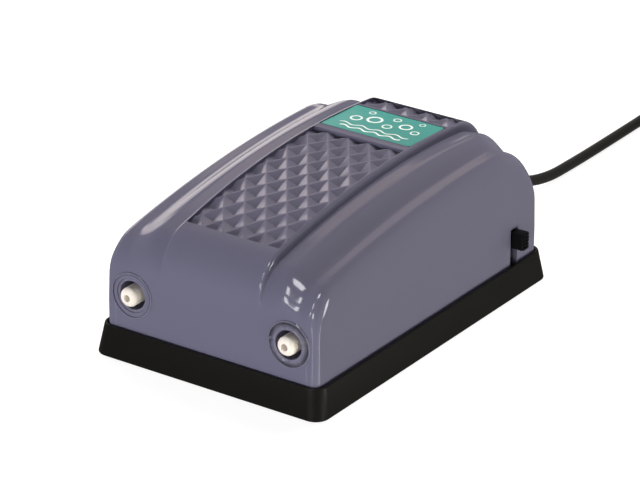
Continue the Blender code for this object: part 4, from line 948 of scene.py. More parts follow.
@dataclass
class Shell:
    """The glossy upper shell with its holes, and the patterned panels let into its top."""

    form: HousingForm = field(default_factory=HousingForm)
    outlet_x: float = 0.0267
    outlet_z: float = 0.0198
    ring_radius: float = 0.0070
    ring_height: float = 0.00030
    groove_radius: float = 0.0065
    recess_radius: float = 0.0052
    hole_radius: float = 0.0043
    sleeve_wall: float = 0.0012
    sleeve_length: float = 0.0065
    bead_depth: float = 0.0018
    groove_level: float = 0.00214
    recess_level: float = 0.00196
    recess_end: float = 0.00232
    cutter_clear: float = 0.0020
    cutter_length: float = 0.012
    posts: tuple[tuple[float, float], ...] = ((0.0168, -0.0500), (0.0200, 0.0475))
    post_radius: float = 0.0030
    post_steps: int = 24
    post_foot: float = 0.0046
    pilot_radius: float = 0.0016
    pilot_depth: float = 0.0123
    skirt_levels: tuple[float, float] = (0.030, 0.016)
    panel_depth: float = 0.0007
    recess_under: float = 0.0024
    recess_above: float = 0.0040
    slab_steps: int = 12
    label_depth: float = 0.0009
    front_panel: tuple[float, float] = (-0.0458, 0.0156)
    label_panel: tuple[float, float] = (0.0182, 0.0376)
    rear_panel: tuple[float, float] = (0.0386, 0.0474)
    diamond_half: tuple[float, float] = (0.00355, 0.00507)
    diamond_node_y: float = -0.04033
    pit_depth: float = 0.00135
    ridge_half: float = 0.00017
    ridge_round: float = 0.00016
    slot_y: float = 0.04355
    slot_width: float = 0.0038
    slot_top: float = 0.0202
    slot_inside: float = 0.006
    cord_z: float = 0.0155
    cord_hole_radius: float = 0.0040
    cord_hole_inside: float = 0.006

    def grid_piece(self, name: str, form: HousingForm) -> bpy.types.Object:
        """Shape a grid into a form and close it down to the foot.

        Args:
            name: The piece's name.
            form: The outside's form, or the ceiling's.

        Returns:
            A closed solid in that form.
        """
        columns, rows = form.columns(), form.rows()
        deselect_all()
        bpy.ops.mesh.primitive_grid_add(
            x_subdivisions=len(columns) - 1, y_subdivisions=len(rows) - 1, size=2.0
        )
        piece = added(name)

        def onto_form(place: Vector) -> None:
            """Lift a grid crossing onto the form."""
            column = round((place.x + 1) / 2 * (len(columns) - 1))
            row = round((place.y + 1) / 2 * (len(rows) - 1))
            place.xyz = form.place(columns[column], rows[row])

        edit(piece)
        reshape(piece, onto_form)
        pick(piece, Part.EDGE, lambda edge: edge.is_boundary)
        for level in (*self.skirt_levels, form.foot):
            extrude_down()
            self.drop_selected(piece, level)
        bpy.ops.mesh.edge_face_add()
        face_outwards()
        reshape(piece, form.lean)
        done(piece)
        return piece

    def drop_selected(self, piece: bpy.types.Object, level: float) -> None:
        """Bring the selected edge down to a level, or leave it where it is lower.

        Args:
            piece: The object in edit mode.
            level: The height to bring it to.
        """

        def drop(place: Vector) -> None:
            """Lower one point."""
            place.z = min(place.z, level)

        reshape(piece, drop, picked=True)

    def follow_band(self, piece: bpy.types.Object, sunk: float = 0.0) -> None:
        """Bend the open piece, drawn flat, to the band's arc.

        Args:
            piece: The object in edit mode.
            sunk: How far under the arc the piece's zero height lies.
        """

        def bend(place: Vector) -> None:
            """Lift one point by the arc's height over it."""
            place.z += self.form.band(place.y) - sunk

        reshape(piece, bend)

    def slab(
        self, name: str, front: float, rear: float, low: float, high: float
    ) -> bpy.types.Object:
        """Make a slab that follows the band's arc.

        Args:
            name: The slab's name.
            front: Its front end.
            rear: Its rear end.
            low: Its underside, counted from the arc.
            high: Its top, counted from the arc.

        Returns:
            The slab as a closed piece.
        """
        half = self.form.panel_half
        piece = block(name, (-half, front, low), (half, rear, high))
        edit(piece)
        for y in spaced(front, rear, self.slab_steps)[1:-1]:
            slice_open((0, y, 0), (0, 1, 0))
        self.follow_band(piece)
        done(piece)
        return piece

    def make_shell(self, paints: Paintbox) -> None:
        """Make the shell and cut its openings."""
        form = self.form
        shell = self.grid_piece("housing_shell", form)
        cut(shell, self.grid_piece("cavity", form.ceiling()))
        self.add_posts(shell)
        for name, (front, rear), depth in (
            ("panel_recess", self.front_panel, self.recess_under),
            ("label_recess", self.label_panel, self.label_depth),
            ("rear_recess", self.rear_panel, self.recess_under),
        ):
            cut(shell, self.slab(name, front, rear, -depth, self.recess_above))
        for sign in (-1, 1):
            self.add_outlet(shell, sign * self.outlet_x)
        inside, outside = form.half_width - self.slot_inside, form.half_width + self.cutter_clear
        front, rear = self.slot_y - self.slot_width / 2, self.slot_y + self.slot_width / 2
        low, high = (inside, front, form.foot - MM), (outside, rear, self.slot_top)
        cut(shell, block("slot", low, high))
        start = (0.0, form.half_length - self.cord_hole_inside, self.cord_z)
        hole = rod("cord_hole", self.cord_hole_radius, self.cutter_length, start, Axis.REAR)
        cut(shell, hole)
        smooth(shell, 28.0)
        settle(shell, paints[HOUSING], "pump")
        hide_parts("upper_housing")

    def add_posts(self, shell: bpy.types.Object) -> None:
        """Grow the four screw posts down from the ceiling.

        Args:
            shell: The hollow shell.
        """
        around = spaced(0.0, math.tau, 8)
        reach = self.post_radius
        for x, y in self.posts:
            above = [(x + reach * math.cos(a), y + reach * math.sin(a)) for a in around]
            top = min(self.form.height(*place) for place in above) - self.form.wall / 2
            for sign in (-1, 1):
                length = top - self.post_foot
                start = (sign * x, y, self.post_foot)
                post = rod("post", reach, length, start, Axis.UP, self.post_steps)
                cut(shell, post, "UNION")
                below = (sign * x, y, self.post_foot - MM)
                pilot = (self.pilot_radius, self.pilot_depth, below, Axis.UP, self.post_steps)
                cut(shell, rod("pilot", *pilot))

    def add_outlet(self, shell: bpy.types.Object, x: float) -> None:
        """Shape one outlet: bead, sleeve behind the wall, stepped recess and hole.

        Args:
            shell: The hollow shell.
            x: The outlet's place across.
        """
        wall = self.form.outer_wall_y(self.outlet_z)
        ring, height, groove = self.ring_radius, self.ring_height, self.groove_radius
        bead = [
            (0.0, 0.0),
            (ring - 0.00030, 0.0),
            (ring - 0.00012, 0.00006),
            (ring, 0.00022),
            (ring, self.bead_depth),
            (0.0, self.bead_depth),
        ]
        front = (x, -wall - height, self.outlet_z)
        cut(shell, turned("bead", bead, front, Axis.REAR, FINE_STEPS), "UNION")
        behind = (x, -wall + self.form.wall / 2, self.outlet_z)
        radius, length = self.hole_radius + self.sleeve_wall, self.sleeve_length
        cut(shell, rod("sleeve", radius, length, behind, Axis.REAR, FINE_STEPS), "UNION")
        outside = (x, -wall - self.cutter_clear, self.outlet_z)
        recess = [
            (0.0, 0.0),
            (groove, 0.0),
            (groove, self.groove_level),
            (groove - 0.00035, self.groove_level),
            (groove - 0.00045, self.recess_level),
            (self.recess_radius, self.recess_level),
            (self.recess_radius - 0.00012, self.recess_end),
            (0.0, self.recess_end),
        ]
        cut(shell, turned("recess", recess, outside, Axis.REAR, FINE_STEPS))
        radius, length = self.hole_radius, self.cutter_length
        cut(shell, rod("hole", radius, length, outside, Axis.REAR, FINE_STEPS))

    def make_panel(self, name: str, front: float, rear: float, paints: Paintbox) -> None:
        """Make one sheet of the diamond pattern as a closed inlay.

        Args:
            name: The piece's name.
            front: The panel's front end.
            rear: The panel's rear end.
            paints: The finishes.
        """
        across, along = self.diamond_half
        half = self.form.panel_half
        middle = (front + rear) / 2
        node = self.diamond_node_y + 2 * along * round(
            (middle - self.diamond_node_y) / (2 * along)
        )
        reach = half / across + (rear - front) / 2 / along + 2
        cells = 2 * math.ceil(reach / 2) + 2
        deselect_all()
        bpy.ops.mesh.primitive_grid_add(
            x_subdivisions=cells, y_subdivisions=cells, size=cells * math.sqrt(2)
        )
        piece = added(name)
        piece.rotation_euler = (0.0, 0.0, math.pi / 4)
        bpy.ops.object.transform_apply(location=False, rotation=True, scale=False)
        piece.scale = (across, along, 1.0)
        piece.location = (0.0, node, 0.0)
        bpy.ops.object.transform_apply(location=True, rotation=False, scale=True)
        edit(piece)
        bpy.ops.mesh.select_mode(type="FACE")
        bpy.ops.mesh.select_all(action="SELECT")
        bpy.ops.mesh.inset(thickness=self.ridge_half, use_individual=True)
        bpy.ops.mesh.poke(offset=-self.pit_depth, use_relative_offset=False)
        for place, way in (
            ((half, 0, 0), (1, 0, 0)),
            ((-half, 0, 0), (-1, 0, 0)),
            ((0, rear, 0), (0, 1, 0)),
            ((0, front, 0), (0, -1, 0)),
        ):
            slice_open(place, way, clear=True)
        pick(piece, Part.EDGE, lambda edge: edge.is_boundary)
        extrude_down()
        self.drop_selected(piece, self.panel_depth - self.recess_under)
        bpy.ops.mesh.edge_face_add()
        face_outwards()
        self.follow_band(piece, self.panel_depth)
        done(piece)
        bevel_edges(piece, self.ridge_round, 3, 15.0)
        smooth(piece, 12.0)
        # The panel's finish is painted light: a lighter colour than the shell's, with painted
        # highlight lines along its ridges.
        settle(piece, paints[FACETS_PAINTED_LIGHT], "pump")
        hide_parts("upper_housing")

    def build(self, paints: Paintbox) -> None:
        """Build the shell and both patterned panels."""
        self.make_shell(paints)
        self.make_panel("diamond_panel", *self.front_panel, paints)
        self.make_panel("rear_diamond_panel", *self.rear_panel, paints)


@dataclass
class Label:
    """The teal label with a printed picture of waves and bubbles."""

    form: HousingForm = field(default_factory=HousingForm)
    front: float = 0.0182
    rear: float = 0.0376
    recess: float = 0.0009
    margin: float = 0.0003
    thickness: float = 0.0004
    corner: float = 0.0007
    edge: float = 0.00008
    print_lift: float = 0.00003
    wave_height: float = 0.00055
    wave_count: int = 2
    wave_steps: int = 60
    bubble_inside: float = 0.70
    wave_rows: tuple[tuple[float, float, float], ...] = (
        (0.0212, 0.0104, 0.00062),
        (0.0234, 0.0118, 0.00050),
    )
    bubbles: tuple[tuple[float, float, float], ...] = (
        (-0.0094, 0.0283, 0.0019),
        (-0.0042, 0.0302, 0.0025),
        (0.0016, 0.0278, 0.0016),
        (0.0062, 0.0307, 0.0021),
        (0.0108, 0.0283, 0.0014),
        (-0.0078, 0.0345, 0.0011),
        (0.0012, 0.0340, 0.0013),
        (0.0092, 0.0350, 0.0010),
    )

    def middle(self) -> float:
        """Place of the label's middle along the length."""
        return (self.front + self.rear) / 2

    def frame_place(self) -> Matrix:
        """Give the label's own plane, tilted to the band at its middle."""
        middle = self.middle()
        slope = math.atan((self.form.band_crest - middle) / self.form.band_radius)
        place = Matrix.Translation((0.0, middle, self.form.band(middle)))
        return place @ Matrix.Rotation(slope, 4, "X")

    def lay(self, piece: bpy.types.Object) -> None:
        """Lay a flat piece, drawn about the label's middle, onto the label's plane."""
        piece.data.transform(self.frame_place())
        piece.data.update()

    def build(self, paints: Paintbox) -> None:
        """Build the plate and its print."""
        half_x = self.form.panel_half - self.margin
        half_y = (self.rear - self.front) / 2 - self.margin
        low = self.margin - self.recess
        top = low + self.thickness
        plate = block("label", (-half_x, -half_y, low), (half_x, half_y, top))
        edit(plate)
        pick(plate, Part.EDGE, upright)
        bpy.ops.mesh.bevel(offset=self.corner, segments=6, affect="EDGES")
        done(plate)
        bevel_edges(plate, self.edge, 2)
        self.lay(plate)
        smooth(plate)
        settle(plate, paints[TEAL], "pump")
        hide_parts("label_plate")
        middle = self.middle()
        for index, (y, half, width) in enumerate(self.wave_rows):
            wave = self.wave(f"label_wave_{index}", y - middle, half, width, top)
            self.lay(wave)
            settle(wave, paints[PRINT], "pump")
        for index, (x, y, radius) in enumerate(self.bubbles):
            bubble = self.bubble(f"label_bubble_{index}", x, y - middle, radius, top)
            self.lay(bubble)
            smooth(bubble)
            settle(bubble, paints[PRINT], "pump")

    def wave(self, name: str, y: float, half: float, width: float, top: float) -> bpy.types.Object:
        """Draw one printed wave as a thin raised ribbon.

        Args:
            name: The ribbon's name.
            y: Its place, counted from the label's middle.
            half: Half its length.
            width: Its width.
            top: The plate's top.

        Returns:
            The ribbon.
        """
        ribbon = block(
            name, (-half, y - width / 2, top), (half, y + width / 2, top + self.print_lift)
        )
        edit(ribbon)
        for x in spaced(-half, half, self.wave_steps)[1:-1]:
            slice_open((x, 0, 0), (1, 0, 0))

        def ripple(place: Vector) -> None:
            """Move one point with the wave."""
            place.y += self.wave_height * math.sin(place.x / half * math.tau * self.wave_count)

        reshape(ribbon, ripple)
        done(ribbon)
        return ribbon

    def bubble(self, name: str, x: float, y: float, radius: float, top: float) -> bpy.types.Object:
        """Draw one printed bubble as a thin raised ring.

        Args:
            name: The ring's name.
            x: Its place across.
            y: Its place, counted from the label's middle.
            radius: Its outer radius.
            top: The plate's top.

        Returns:
            The ring.
        """
        thin = radius * self.bubble_inside
        lift = self.print_lift
        ring = [(thin, 0.0), (radius, 0.0), (radius, lift), (thin, lift), (thin, 0.0)]
        return turned(name, ring, (x, y, top), Axis.UP, 40)


@dataclass
class Boot:
    """The black rubber boot that the pump stands in."""

    width: float = 0.0780
    length: float = 0.11925
    height: float = 0.0092
    draft: float = 0.0015
    corner: float = 0.0045
    wall: float = 0.0008
    floor: float = 0.0020
    rim_round: float = 0.00030
    foot_round: float = 0.0006
    intake: tuple[float, float] = (-0.0250, 0.0385)
    intake_radius: float = 0.0050

    def build(self, paints: Paintbox) -> None:
        """Build the boot from a block: round it, draw it in, hollow it and soften its rim."""
        half_x, half_y = self.width / 2, self.length / 2
        boot = block("boot", (-half_x, -half_y, 0.0), (half_x, half_y, self.height))
        edit(boot)
        pick(boot, Part.EDGE, upright)
        bpy.ops.mesh.bevel(offset=self.corner, segments=10, affect="EDGES")
        pick(boot, Part.FACE, lambda face: face.normal.z > 0.9)
        bpy.ops.transform.resize(
            value=(1 - self.draft / half_x, 1 - self.draft / half_y, 1.0),
            center_override=(0.0, 0.0, self.height),
        )
        bpy.ops.mesh.inset(thickness=self.wall)
        bpy.ops.mesh.extrude_region_move(
            TRANSFORM_OT_translate={"value": (0, 0, self.floor - self.height)}
        )
        pick(boot, Part.EDGE, self.is_rim)
        bpy.ops.mesh.bevel(offset=self.rim_round, segments=3, affect="EDGES")
        pick(boot, Part.EDGE, self.is_foot)
        bpy.ops.mesh.bevel(offset=self.foot_round, segments=4, affect="EDGES")
        done(boot)
        below = (*self.intake, -self.floor)
        cut(boot, rod("boot_intake", self.intake_radius, 3 * self.floor, below, Axis.UP))
        smooth(boot, 30.0)
        settle(boot, paints[BOOT], "pump")
        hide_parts("rubber_boot")

    def is_rim(self, edge: bmesh.types.BMEdge) -> bool:
        """Say whether an edge runs round the rim's outer or inner top."""
        low = min(vert.co.z for vert in edge.verts)
        across = abs(edge.link_faces[0].normal.dot(edge.link_faces[1].normal))
        return low > self.height - 0.01 * MM and across < 0.7

    def is_foot(self, edge: bmesh.types.BMEdge) -> bool:
        """Say whether an edge runs round the outline of the underside."""
        lies = max(vert.co.z for vert in edge.verts) < 0.01 * MM
        return lies and any(abs(face.normal.z) < 0.5 for face in edge.link_faces)


# ---------------------------------------------------------------- small outside pieces
@dataclass
class Nozzles:
    """The two ivory outlet nozzles."""

    x: float = 0.0267
    z: float = 0.0198
    tip: float = -0.059113
    collar_front: float = -0.0439
    collar_rear: float = -0.0423
    radius: float = 0.00285
    bore: float = 0.00095
    collar_radius: float = 0.0039
    spigot_radius: float = 0.0022
    spigot_length: float = 0.0040
    mouth: float = 0.00016
    bore_stop: float = 0.0040
    dome_flatness: float = 0.85
    dome_steps: int = 12

    def profile(self) -> list[tuple[float, float]]:
        """List the nozzle's outline, closed on itself round its bore."""
        dome = self.radius - self.bore
        mouth = self.mouth
        points = [(self.bore, self.bore_stop), (self.bore, 0.0005), (self.bore + mouth, 0.00012)]
        for turn in spaced(0.0, math.pi / 2, self.dome_steps)[1:]:
            reach = mouth + (dome - mouth) * math.sin(turn)
            points.append((self.bore + reach, self.dome_flatness * dome * (1 - math.cos(turn))))
        front, rear = self.collar_front - self.tip, self.collar_rear - self.tip
        points += [
            (self.radius, front),
            (self.collar_radius, front),
            (self.collar_radius, rear),
            (self.spigot_radius, rear),
            (self.spigot_radius, rear + self.spigot_length),
            (self.bore, rear + self.spigot_length),
            (self.bore, self.bore_stop),
        ]
        return points

    def build(self, paints: Paintbox) -> None:
        """Build both nozzles."""
        for side, sign in (("left", -1), ("right", 1)):
            start = (sign * self.x, self.tip, self.z)
            nozzle = turned(f"nozzle_{side}", self.profile(), start, Axis.REAR, 56)
            smooth(nozzle, 40.0)
            settle(nozzle, paints[IVORY], "pump")
            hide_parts(f"outlet_nozzle_{side}")


@dataclass
class Diaphragms:
    """The two rubber cups that the arms press towards their valve chambers."""

    radius: float = 0.0108
    shoulder: float = 0.0082
    hub: float = 0.0040
    bore: float = 0.0015
    web: float = 0.0010
    dish: float = 0.0015
    travel: float = 0.0009

    def build(self, paints: Paintbox) -> None:
        """Turn each cup inside its CAD box."""
        for side, axis in (("left", Axis.RIGHT), ("right", Axis.LEFT)):
            low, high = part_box(f"diaphragm_{side}")
            depth = high.x - low.x
            outer = low.x if side == "left" else high.x
            rim = (outer, (low.y + high.y) / 2, (low.z + high.z) / 2)
            profile = [
                (self.bore, self.dish),
                (self.hub - self.web, self.dish),
                (self.shoulder - self.web, 0.0),
                (self.radius, 0.0),
                (self.radius, self.web),
                (self.shoulder, self.web),
                (self.hub + self.web / 2, self.dish + self.web),
                (self.hub, depth),
                (self.bore, depth),
                (self.bore, self.dish),
            ]
            cup = turned(f"rubber_cup_{side}", profile, rim, axis, FINE_STEPS)
            smooth(cup, 30.0)
            settle(cup, paints[DIAPHRAGM], "pump")
            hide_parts(f"diaphragm_{side}")
            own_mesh(cup)


@dataclass
class Knob:
    """The slide control's ribbed knob."""

    edge: float = 0.00025
    ribs: int = 5
    rib_height: float = 0.00035
    rib_sunk: float = 0.0006
    rib_inset: float = 0.0002
    rib_edge: float = 0.00014
    valley: float = 0.00030

    def build(self, paints: Paintbox) -> None:
        """Build the knob from its CAD box, with ribs across its outer face."""
        low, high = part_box("control_knob")
        face = high.x - self.rib_height
        knob = block("knob", low, (face, high.y, high.z))
        bevel_edges(knob, self.edge, 3)
        pitch = (high.z - low.z) / self.ribs
        for index in range(self.ribs):
            bottom = low.z + index * pitch + self.valley / 2
            rib = block(
                "rib",
                (face - self.rib_sunk, low.y + self.rib_inset, bottom),
                (high.x, high.y - self.rib_inset, bottom + pitch - self.valley),
            )
            bevel_edges(rib, self.rib_edge, 2)
            cut(knob, rib, "UNION")
        smooth(knob, 30.0)
        settle(knob, paints[KNOB], "control")
        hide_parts("control_knob")


# ---------------------------------------------------------------- the mains cord
def smooth_route(points: Sequence[Point], count: int) -> list[Vector]:
    """Read points along a smooth curve through the given ones.

    Args:
        points: The places that the curve passes through.
        count: How many points each span gives.

    Returns:
        The points, with the last place included.
    """
    places = [Vector(point) for point in points]
    ends = [2 * places[0] - places[1], *places, 2 * places[-1] - places[-2]]
    route = []
    for before, start, end, after in zip(ends, ends[1:], ends[2:], ends[3:], strict=False):
        for share in spaced(0.0, 1.0, count)[:-1]:
            bend = 2 * before - 5 * start + 4 * end - after
            twist = 3 * start - before - 3 * end + after
            route.append(
                0.5 * (2 * start + (end - before) * share + bend * share**2 + twist * share**3)
            )
    route.append(places[-1])
    return route


@dataclass
class Cord:
    """The mains cord: strain relief, free run, neat coil, tie and plug."""

    radius: float = 0.0017
    exit_z: float = 0.0155
    run: tuple[Point, ...] = (
        (0.0012, 0.0940, 0.0104),
        (0.0023, 0.1055, 0.0051),
        (0.0027, 0.1180, 0.0024),
        (0.0027, 0.1320, 0.00175),
        (0.0027, 0.1560, 0.00175),
        (0.0027, 0.1850, 0.0022),
        (0.0027, 0.2037, 0.0031),
    )
    coil_centre: tuple[float, float] = (0.0222, 0.2220)
    coil_radius: float = 0.0195
    coil_base: float = 0.0033
    turn_gap: float = 0.0036
    slots: tuple[tuple[int, int], ...] = (
        (0, 0), (1, 0), (1, 1), (1, 2), (0, 2), (-1, 2), (-1, 1), (-1, 0), (0, 1),
    )
    turns: float = 8.5
    step_over_from: float = 0.62
    points_per_turn: int = 30
    relief_gap: float = 0.0003
    relief_bore: float = 0.0020
    relief_neck: float = 0.0036
    relief_tip: float = 0.0024
    relief_grooves: int = 6
    groove_depth: float = 0.00045
    flange_radius: float = 0.0056
    flange_from_tip: float = 0.0230
    tie_corner: float = 0.0022
    tie_wall: float = 0.0008
    tie_edge: float = 0.00015
    plug_tail: float = 0.0140
    plug_corner: float = 0.0078
    plug_edge: float = 0.0016
    grip_count: int = 4
    grip_x: float = 0.0136
    grip_half: float = 0.0012
    grip_pitch: float = 0.0032
    grip_width: float = 0.0014
    pin_steps: int = 8
    pin_flatness: float = 0.8
    tail: tuple[Point, ...] = ((0.0417, 0.2037, 0.0070), (0.0417, 0.1990, 0.0072))

    def coil_route(self) -> list[Point]:
        """Wind the coil, turn by turn, from its left side clockwise to its right side."""
        route: list[Point] = []
        steps = round(self.turns * self.points_per_turn)
        for step in range(1, steps):
            turned_by = step / self.points_per_turn
            index = min(int(turned_by), len(self.slots) - 1)
            after = min(index + 1, len(self.slots) - 1)
            share = ease(turned_by - index, self.step_over_from, 1.0)
            column, row = (
                here * (1 - share) + there * share
                for here, there in zip(self.slots[index], self.slots[after], strict=True)
            )
            angle = math.pi - math.tau * turned_by
            reach = self.coil_radius + column * self.turn_gap
            route.append(
                (
                    self.coil_centre[0] + reach * math.cos(angle),
                    self.coil_centre[1] + reach * math.sin(angle),
                    self.coil_base + row * self.turn_gap,
                )
            )
        return route

    def whole_route(self) -> list[Vector]:
        """Give the cord's line from the strain relief to the plug."""
        start_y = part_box("cord_strain_relief")[1].y + self.relief_gap
        free = smooth_route(((0.0, start_y, self.exit_z), *self.run), 8)
        coil = [Vector(point) for point in self.coil_route()]
        entry = smooth_route((self.run[-1], coil[0], coil[1]), 4)[1:4]
        leave = smooth_route((coil[-1], *self.tail), 5)[1:]
        return free + entry + coil + leave

    def build(self, paints: Paintbox) -> None:
        relief = self.make_relief(paints)
        plug = self.make_plug(paints)
        tie = self.make_tie(paints)
        route = self.whole_route()
        line = bpy.data.curves.new("mains_lead_outer", "CURVE")
        line.dimensions = "3D"
        line.bevel_depth = self.radius
        line.bevel_resolution = 4
        line.use_fill_caps = True
        spline = line.splines.new("POLY")
        spline.points.add(len(route) - 1)
        for point, place in zip(spline.points, route, strict=True):
            point.co = (*place, 1.0)
        cord = bpy.data.objects.new("cord", line)
        bpy.context.scene.collection.objects.link(cord)
        line.materials.append(paints[CORD])
        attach(cord, "pump")
        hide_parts("mains_cord", "cord_coil", "cord_tail")

    def make_relief(self, paints: Paintbox) -> bpy.types.Object:
        """Make the tapered, ribbed strain relief in the rear wall."""
        low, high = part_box("cord_strain_relief")
        length = high.y - low.y
        bore, neck, tip = self.relief_bore, self.relief_neck, self.relief_tip
        flange, flange_at = self.flange_radius, length - self.flange_from_tip
        points = [(bore, 0.0), (neck, 0.0), (neck, flange_at), (flange - 0.0002, flange_at)]
        points += [(flange, flange_at + 0.0002), (flange, flange_at + 0.0013)]
        points += [(flange - 0.0004, flange_at + 0.0016), (neck, flange_at + 0.0030)]
        grooves, start, end = self.relief_grooves, flange_at + 0.0042, length - 0.0012
        pitch = (end - start) / grooves
        for index in range(grooves):
            at = start + index * pitch
            outer = neck + (tip - neck) * (at - start) / (end - start)
            valley = outer - self.groove_depth
            points += [
                (outer, at),
                (valley, at + 0.10 * pitch),
                (valley, at + 0.36 * pitch),
                (outer - 0.0001, at + 0.46 * pitch),
            ]
        points += [(tip, end), (tip - 0.0002, length), (bore, length), (bore, 0.0)]
        relief = turned("strain_relief", points, (0.0, low.y, self.exit_z), Axis.REAR, 40)
        smooth(relief, 35.0)
        settle(relief, paints[BOOT], "pump")
        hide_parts("cord_strain_relief")
        return relief

    def make_tie(self, paints: Paintbox) -> bpy.types.Object:
        """Make the soft tie round the coil's bundle."""
        low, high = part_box("cord_tie")
        tie = block("coil_tie", low, high)
        edit(tie)
        pick(tie, Part.EDGE, lambda edge: upright(edge, 0))
        bpy.ops.mesh.bevel(offset=self.tie_corner, segments=5, affect="EDGES")
        pick(tie, Part.FACE, lambda face: abs(face.normal.x) > 0.9)
        bpy.ops.mesh.inset(thickness=self.tie_wall)
        bpy.ops.mesh.bridge_edge_loops()
        done(tie)
        bevel_edges(tie, self.tie_edge, 2)
        smooth(tie)
        settle(tie, paints[KNOB], "pump")
        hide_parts("cord_tie")
        return tie

    def make_plug(self, paints: Paintbox) -> list[bpy.types.Object]:
        """Make the two-pin plug: waisted body, grip ribs, tail and two pins."""
        low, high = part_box("plug_body")
        middle = (low + high) / 2
        tail = self.plug_tail
        rear = high.y - tail
        body = block("plug", low, (high.x, rear, high.z))
        edit(body)
        pick(body, Part.EDGE, upright)
        bpy.ops.mesh.bevel(offset=self.plug_corner, segments=10, affect="EDGES")
        done(body)
        bevel_edges(body, self.plug_edge, 4)
        for x in (middle.x - self.grip_x, middle.x + self.grip_x):
            for index in range(self.grip_count):
                y = middle.y - tail / 2 + index * self.grip_pitch
                groove = block(
                    "grip",
                    (x - self.grip_half, y, low.z - MM),
                    (x + self.grip_half, y + self.grip_width, high.z + MM),
                )
                cut(body, groove)
        sleeve = turned(
            "plug_tail",
            [
                (0.0, -0.004),
                (0.0045, -0.004),
                (0.0045, 0.0004),
                (0.0040, 0.0012),
                (0.0040, 0.0030),
                (0.0035, 0.0034),
                (0.0036, 0.0060),
                (0.0031, 0.0064),
                (0.0032, 0.0092),
                (0.0027, 0.0096),
                (0.0026, tail),
                (0.0, tail),
            ],
            (middle.x, rear, middle.z),
            Axis.REAR,
            40,
        )
        cut(body, sleeve, "UNION")
        smooth(body, 32.0)
        settle(body, paints[CORD], "pump")
        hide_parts("plug_body")
        pieces = [body]
        for side in ("left", "right"):
            pin_low, pin_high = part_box(f"plug_pin_{side}")
            radius = (pin_high.z - pin_low.z) / 2
            length = pin_high.y - pin_low.y
            points = [(0.0, 0.0)]
            for turn in spaced(0.0, math.pi / 2, self.pin_steps)[1:]:
                rise = radius * self.pin_flatness * (1 - math.cos(turn))
                points.append((radius * math.sin(turn), rise))
            points += [(radius, length), (0.0, length)]
            start = ((pin_low.x + pin_high.x) / 2, pin_low.y, middle.z)
            pin = turned(f"pin_{side}", points, start, Axis.REAR, 32)
            smooth(pin, 35.0)
            settle(pin, paints[STEEL], "pump")
            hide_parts(f"plug_pin_{side}")
            pieces.append(pin)
        return pieces


# ---------------------------------------------------------------- camera, floor and lights
def direction(azimuth: float, elevation: float) -> Vector:
    """Give the way out from the object at an azimuth and elevation in degrees."""
    around, up = math.radians(azimuth), math.radians(elevation)
    level = math.cos(up)
    return Vector((math.sin(around) * level, -math.cos(around) * level, math.sin(up)))


def facing(x_axis: Vector, y_axis: Vector, z_axis: Vector) -> Matrix:
    """Give the turn that lays an object's own axes along these three."""
    return Matrix((x_axis, y_axis, z_axis)).transposed().to_4x4()


class Reach(Enum):
    """What a studio light does: fill the surfaces, or only show as a reflection."""

    FILL = "fill"
    GLEAM = "gleam"


@dataclass(frozen=True)
class SoftBox:
    """One rectangular studio light, seen from the object at an azimuth and elevation."""

    name: str
    reach: Reach
    towards: tuple[float, float]
    spread: tuple[float, float]
    radiance: float
    colour: Colour = (1.0, 1.0, 1.0)
    distance: float = 1.6
    aim: Point = (0.0, 0.0, 0.025)

    def build(self) -> None:
        """Hang the light so that it faces what it is aimed at."""
        way = direction(*self.towards)
        lamp = bpy.data.lights.new(self.name, "AREA")
        lamp.shape = "RECTANGLE"
        lamp.size, lamp.size_y = (
            2 * self.distance * math.tan(math.radians(angle) / 2) for angle in self.spread
        )
        lamp.energy = self.radiance * math.pi * lamp.size * lamp.size_y
        lamp.color = self.colour
        holder = bpy.data.objects.new(self.name, lamp)
        bpy.context.scene.collection.objects.link(holder)
        holder.visible_diffuse = self.reach is Reach.FILL
        holder.visible_glossy = self.reach is Reach.GLEAM
        side = Vector((0, 0, 1)).cross(way).normalized()
        spot = Matrix.Translation(Vector(self.aim) + way * self.distance)
        holder.matrix_world = spot @ facing(side, way.cross(side), way)


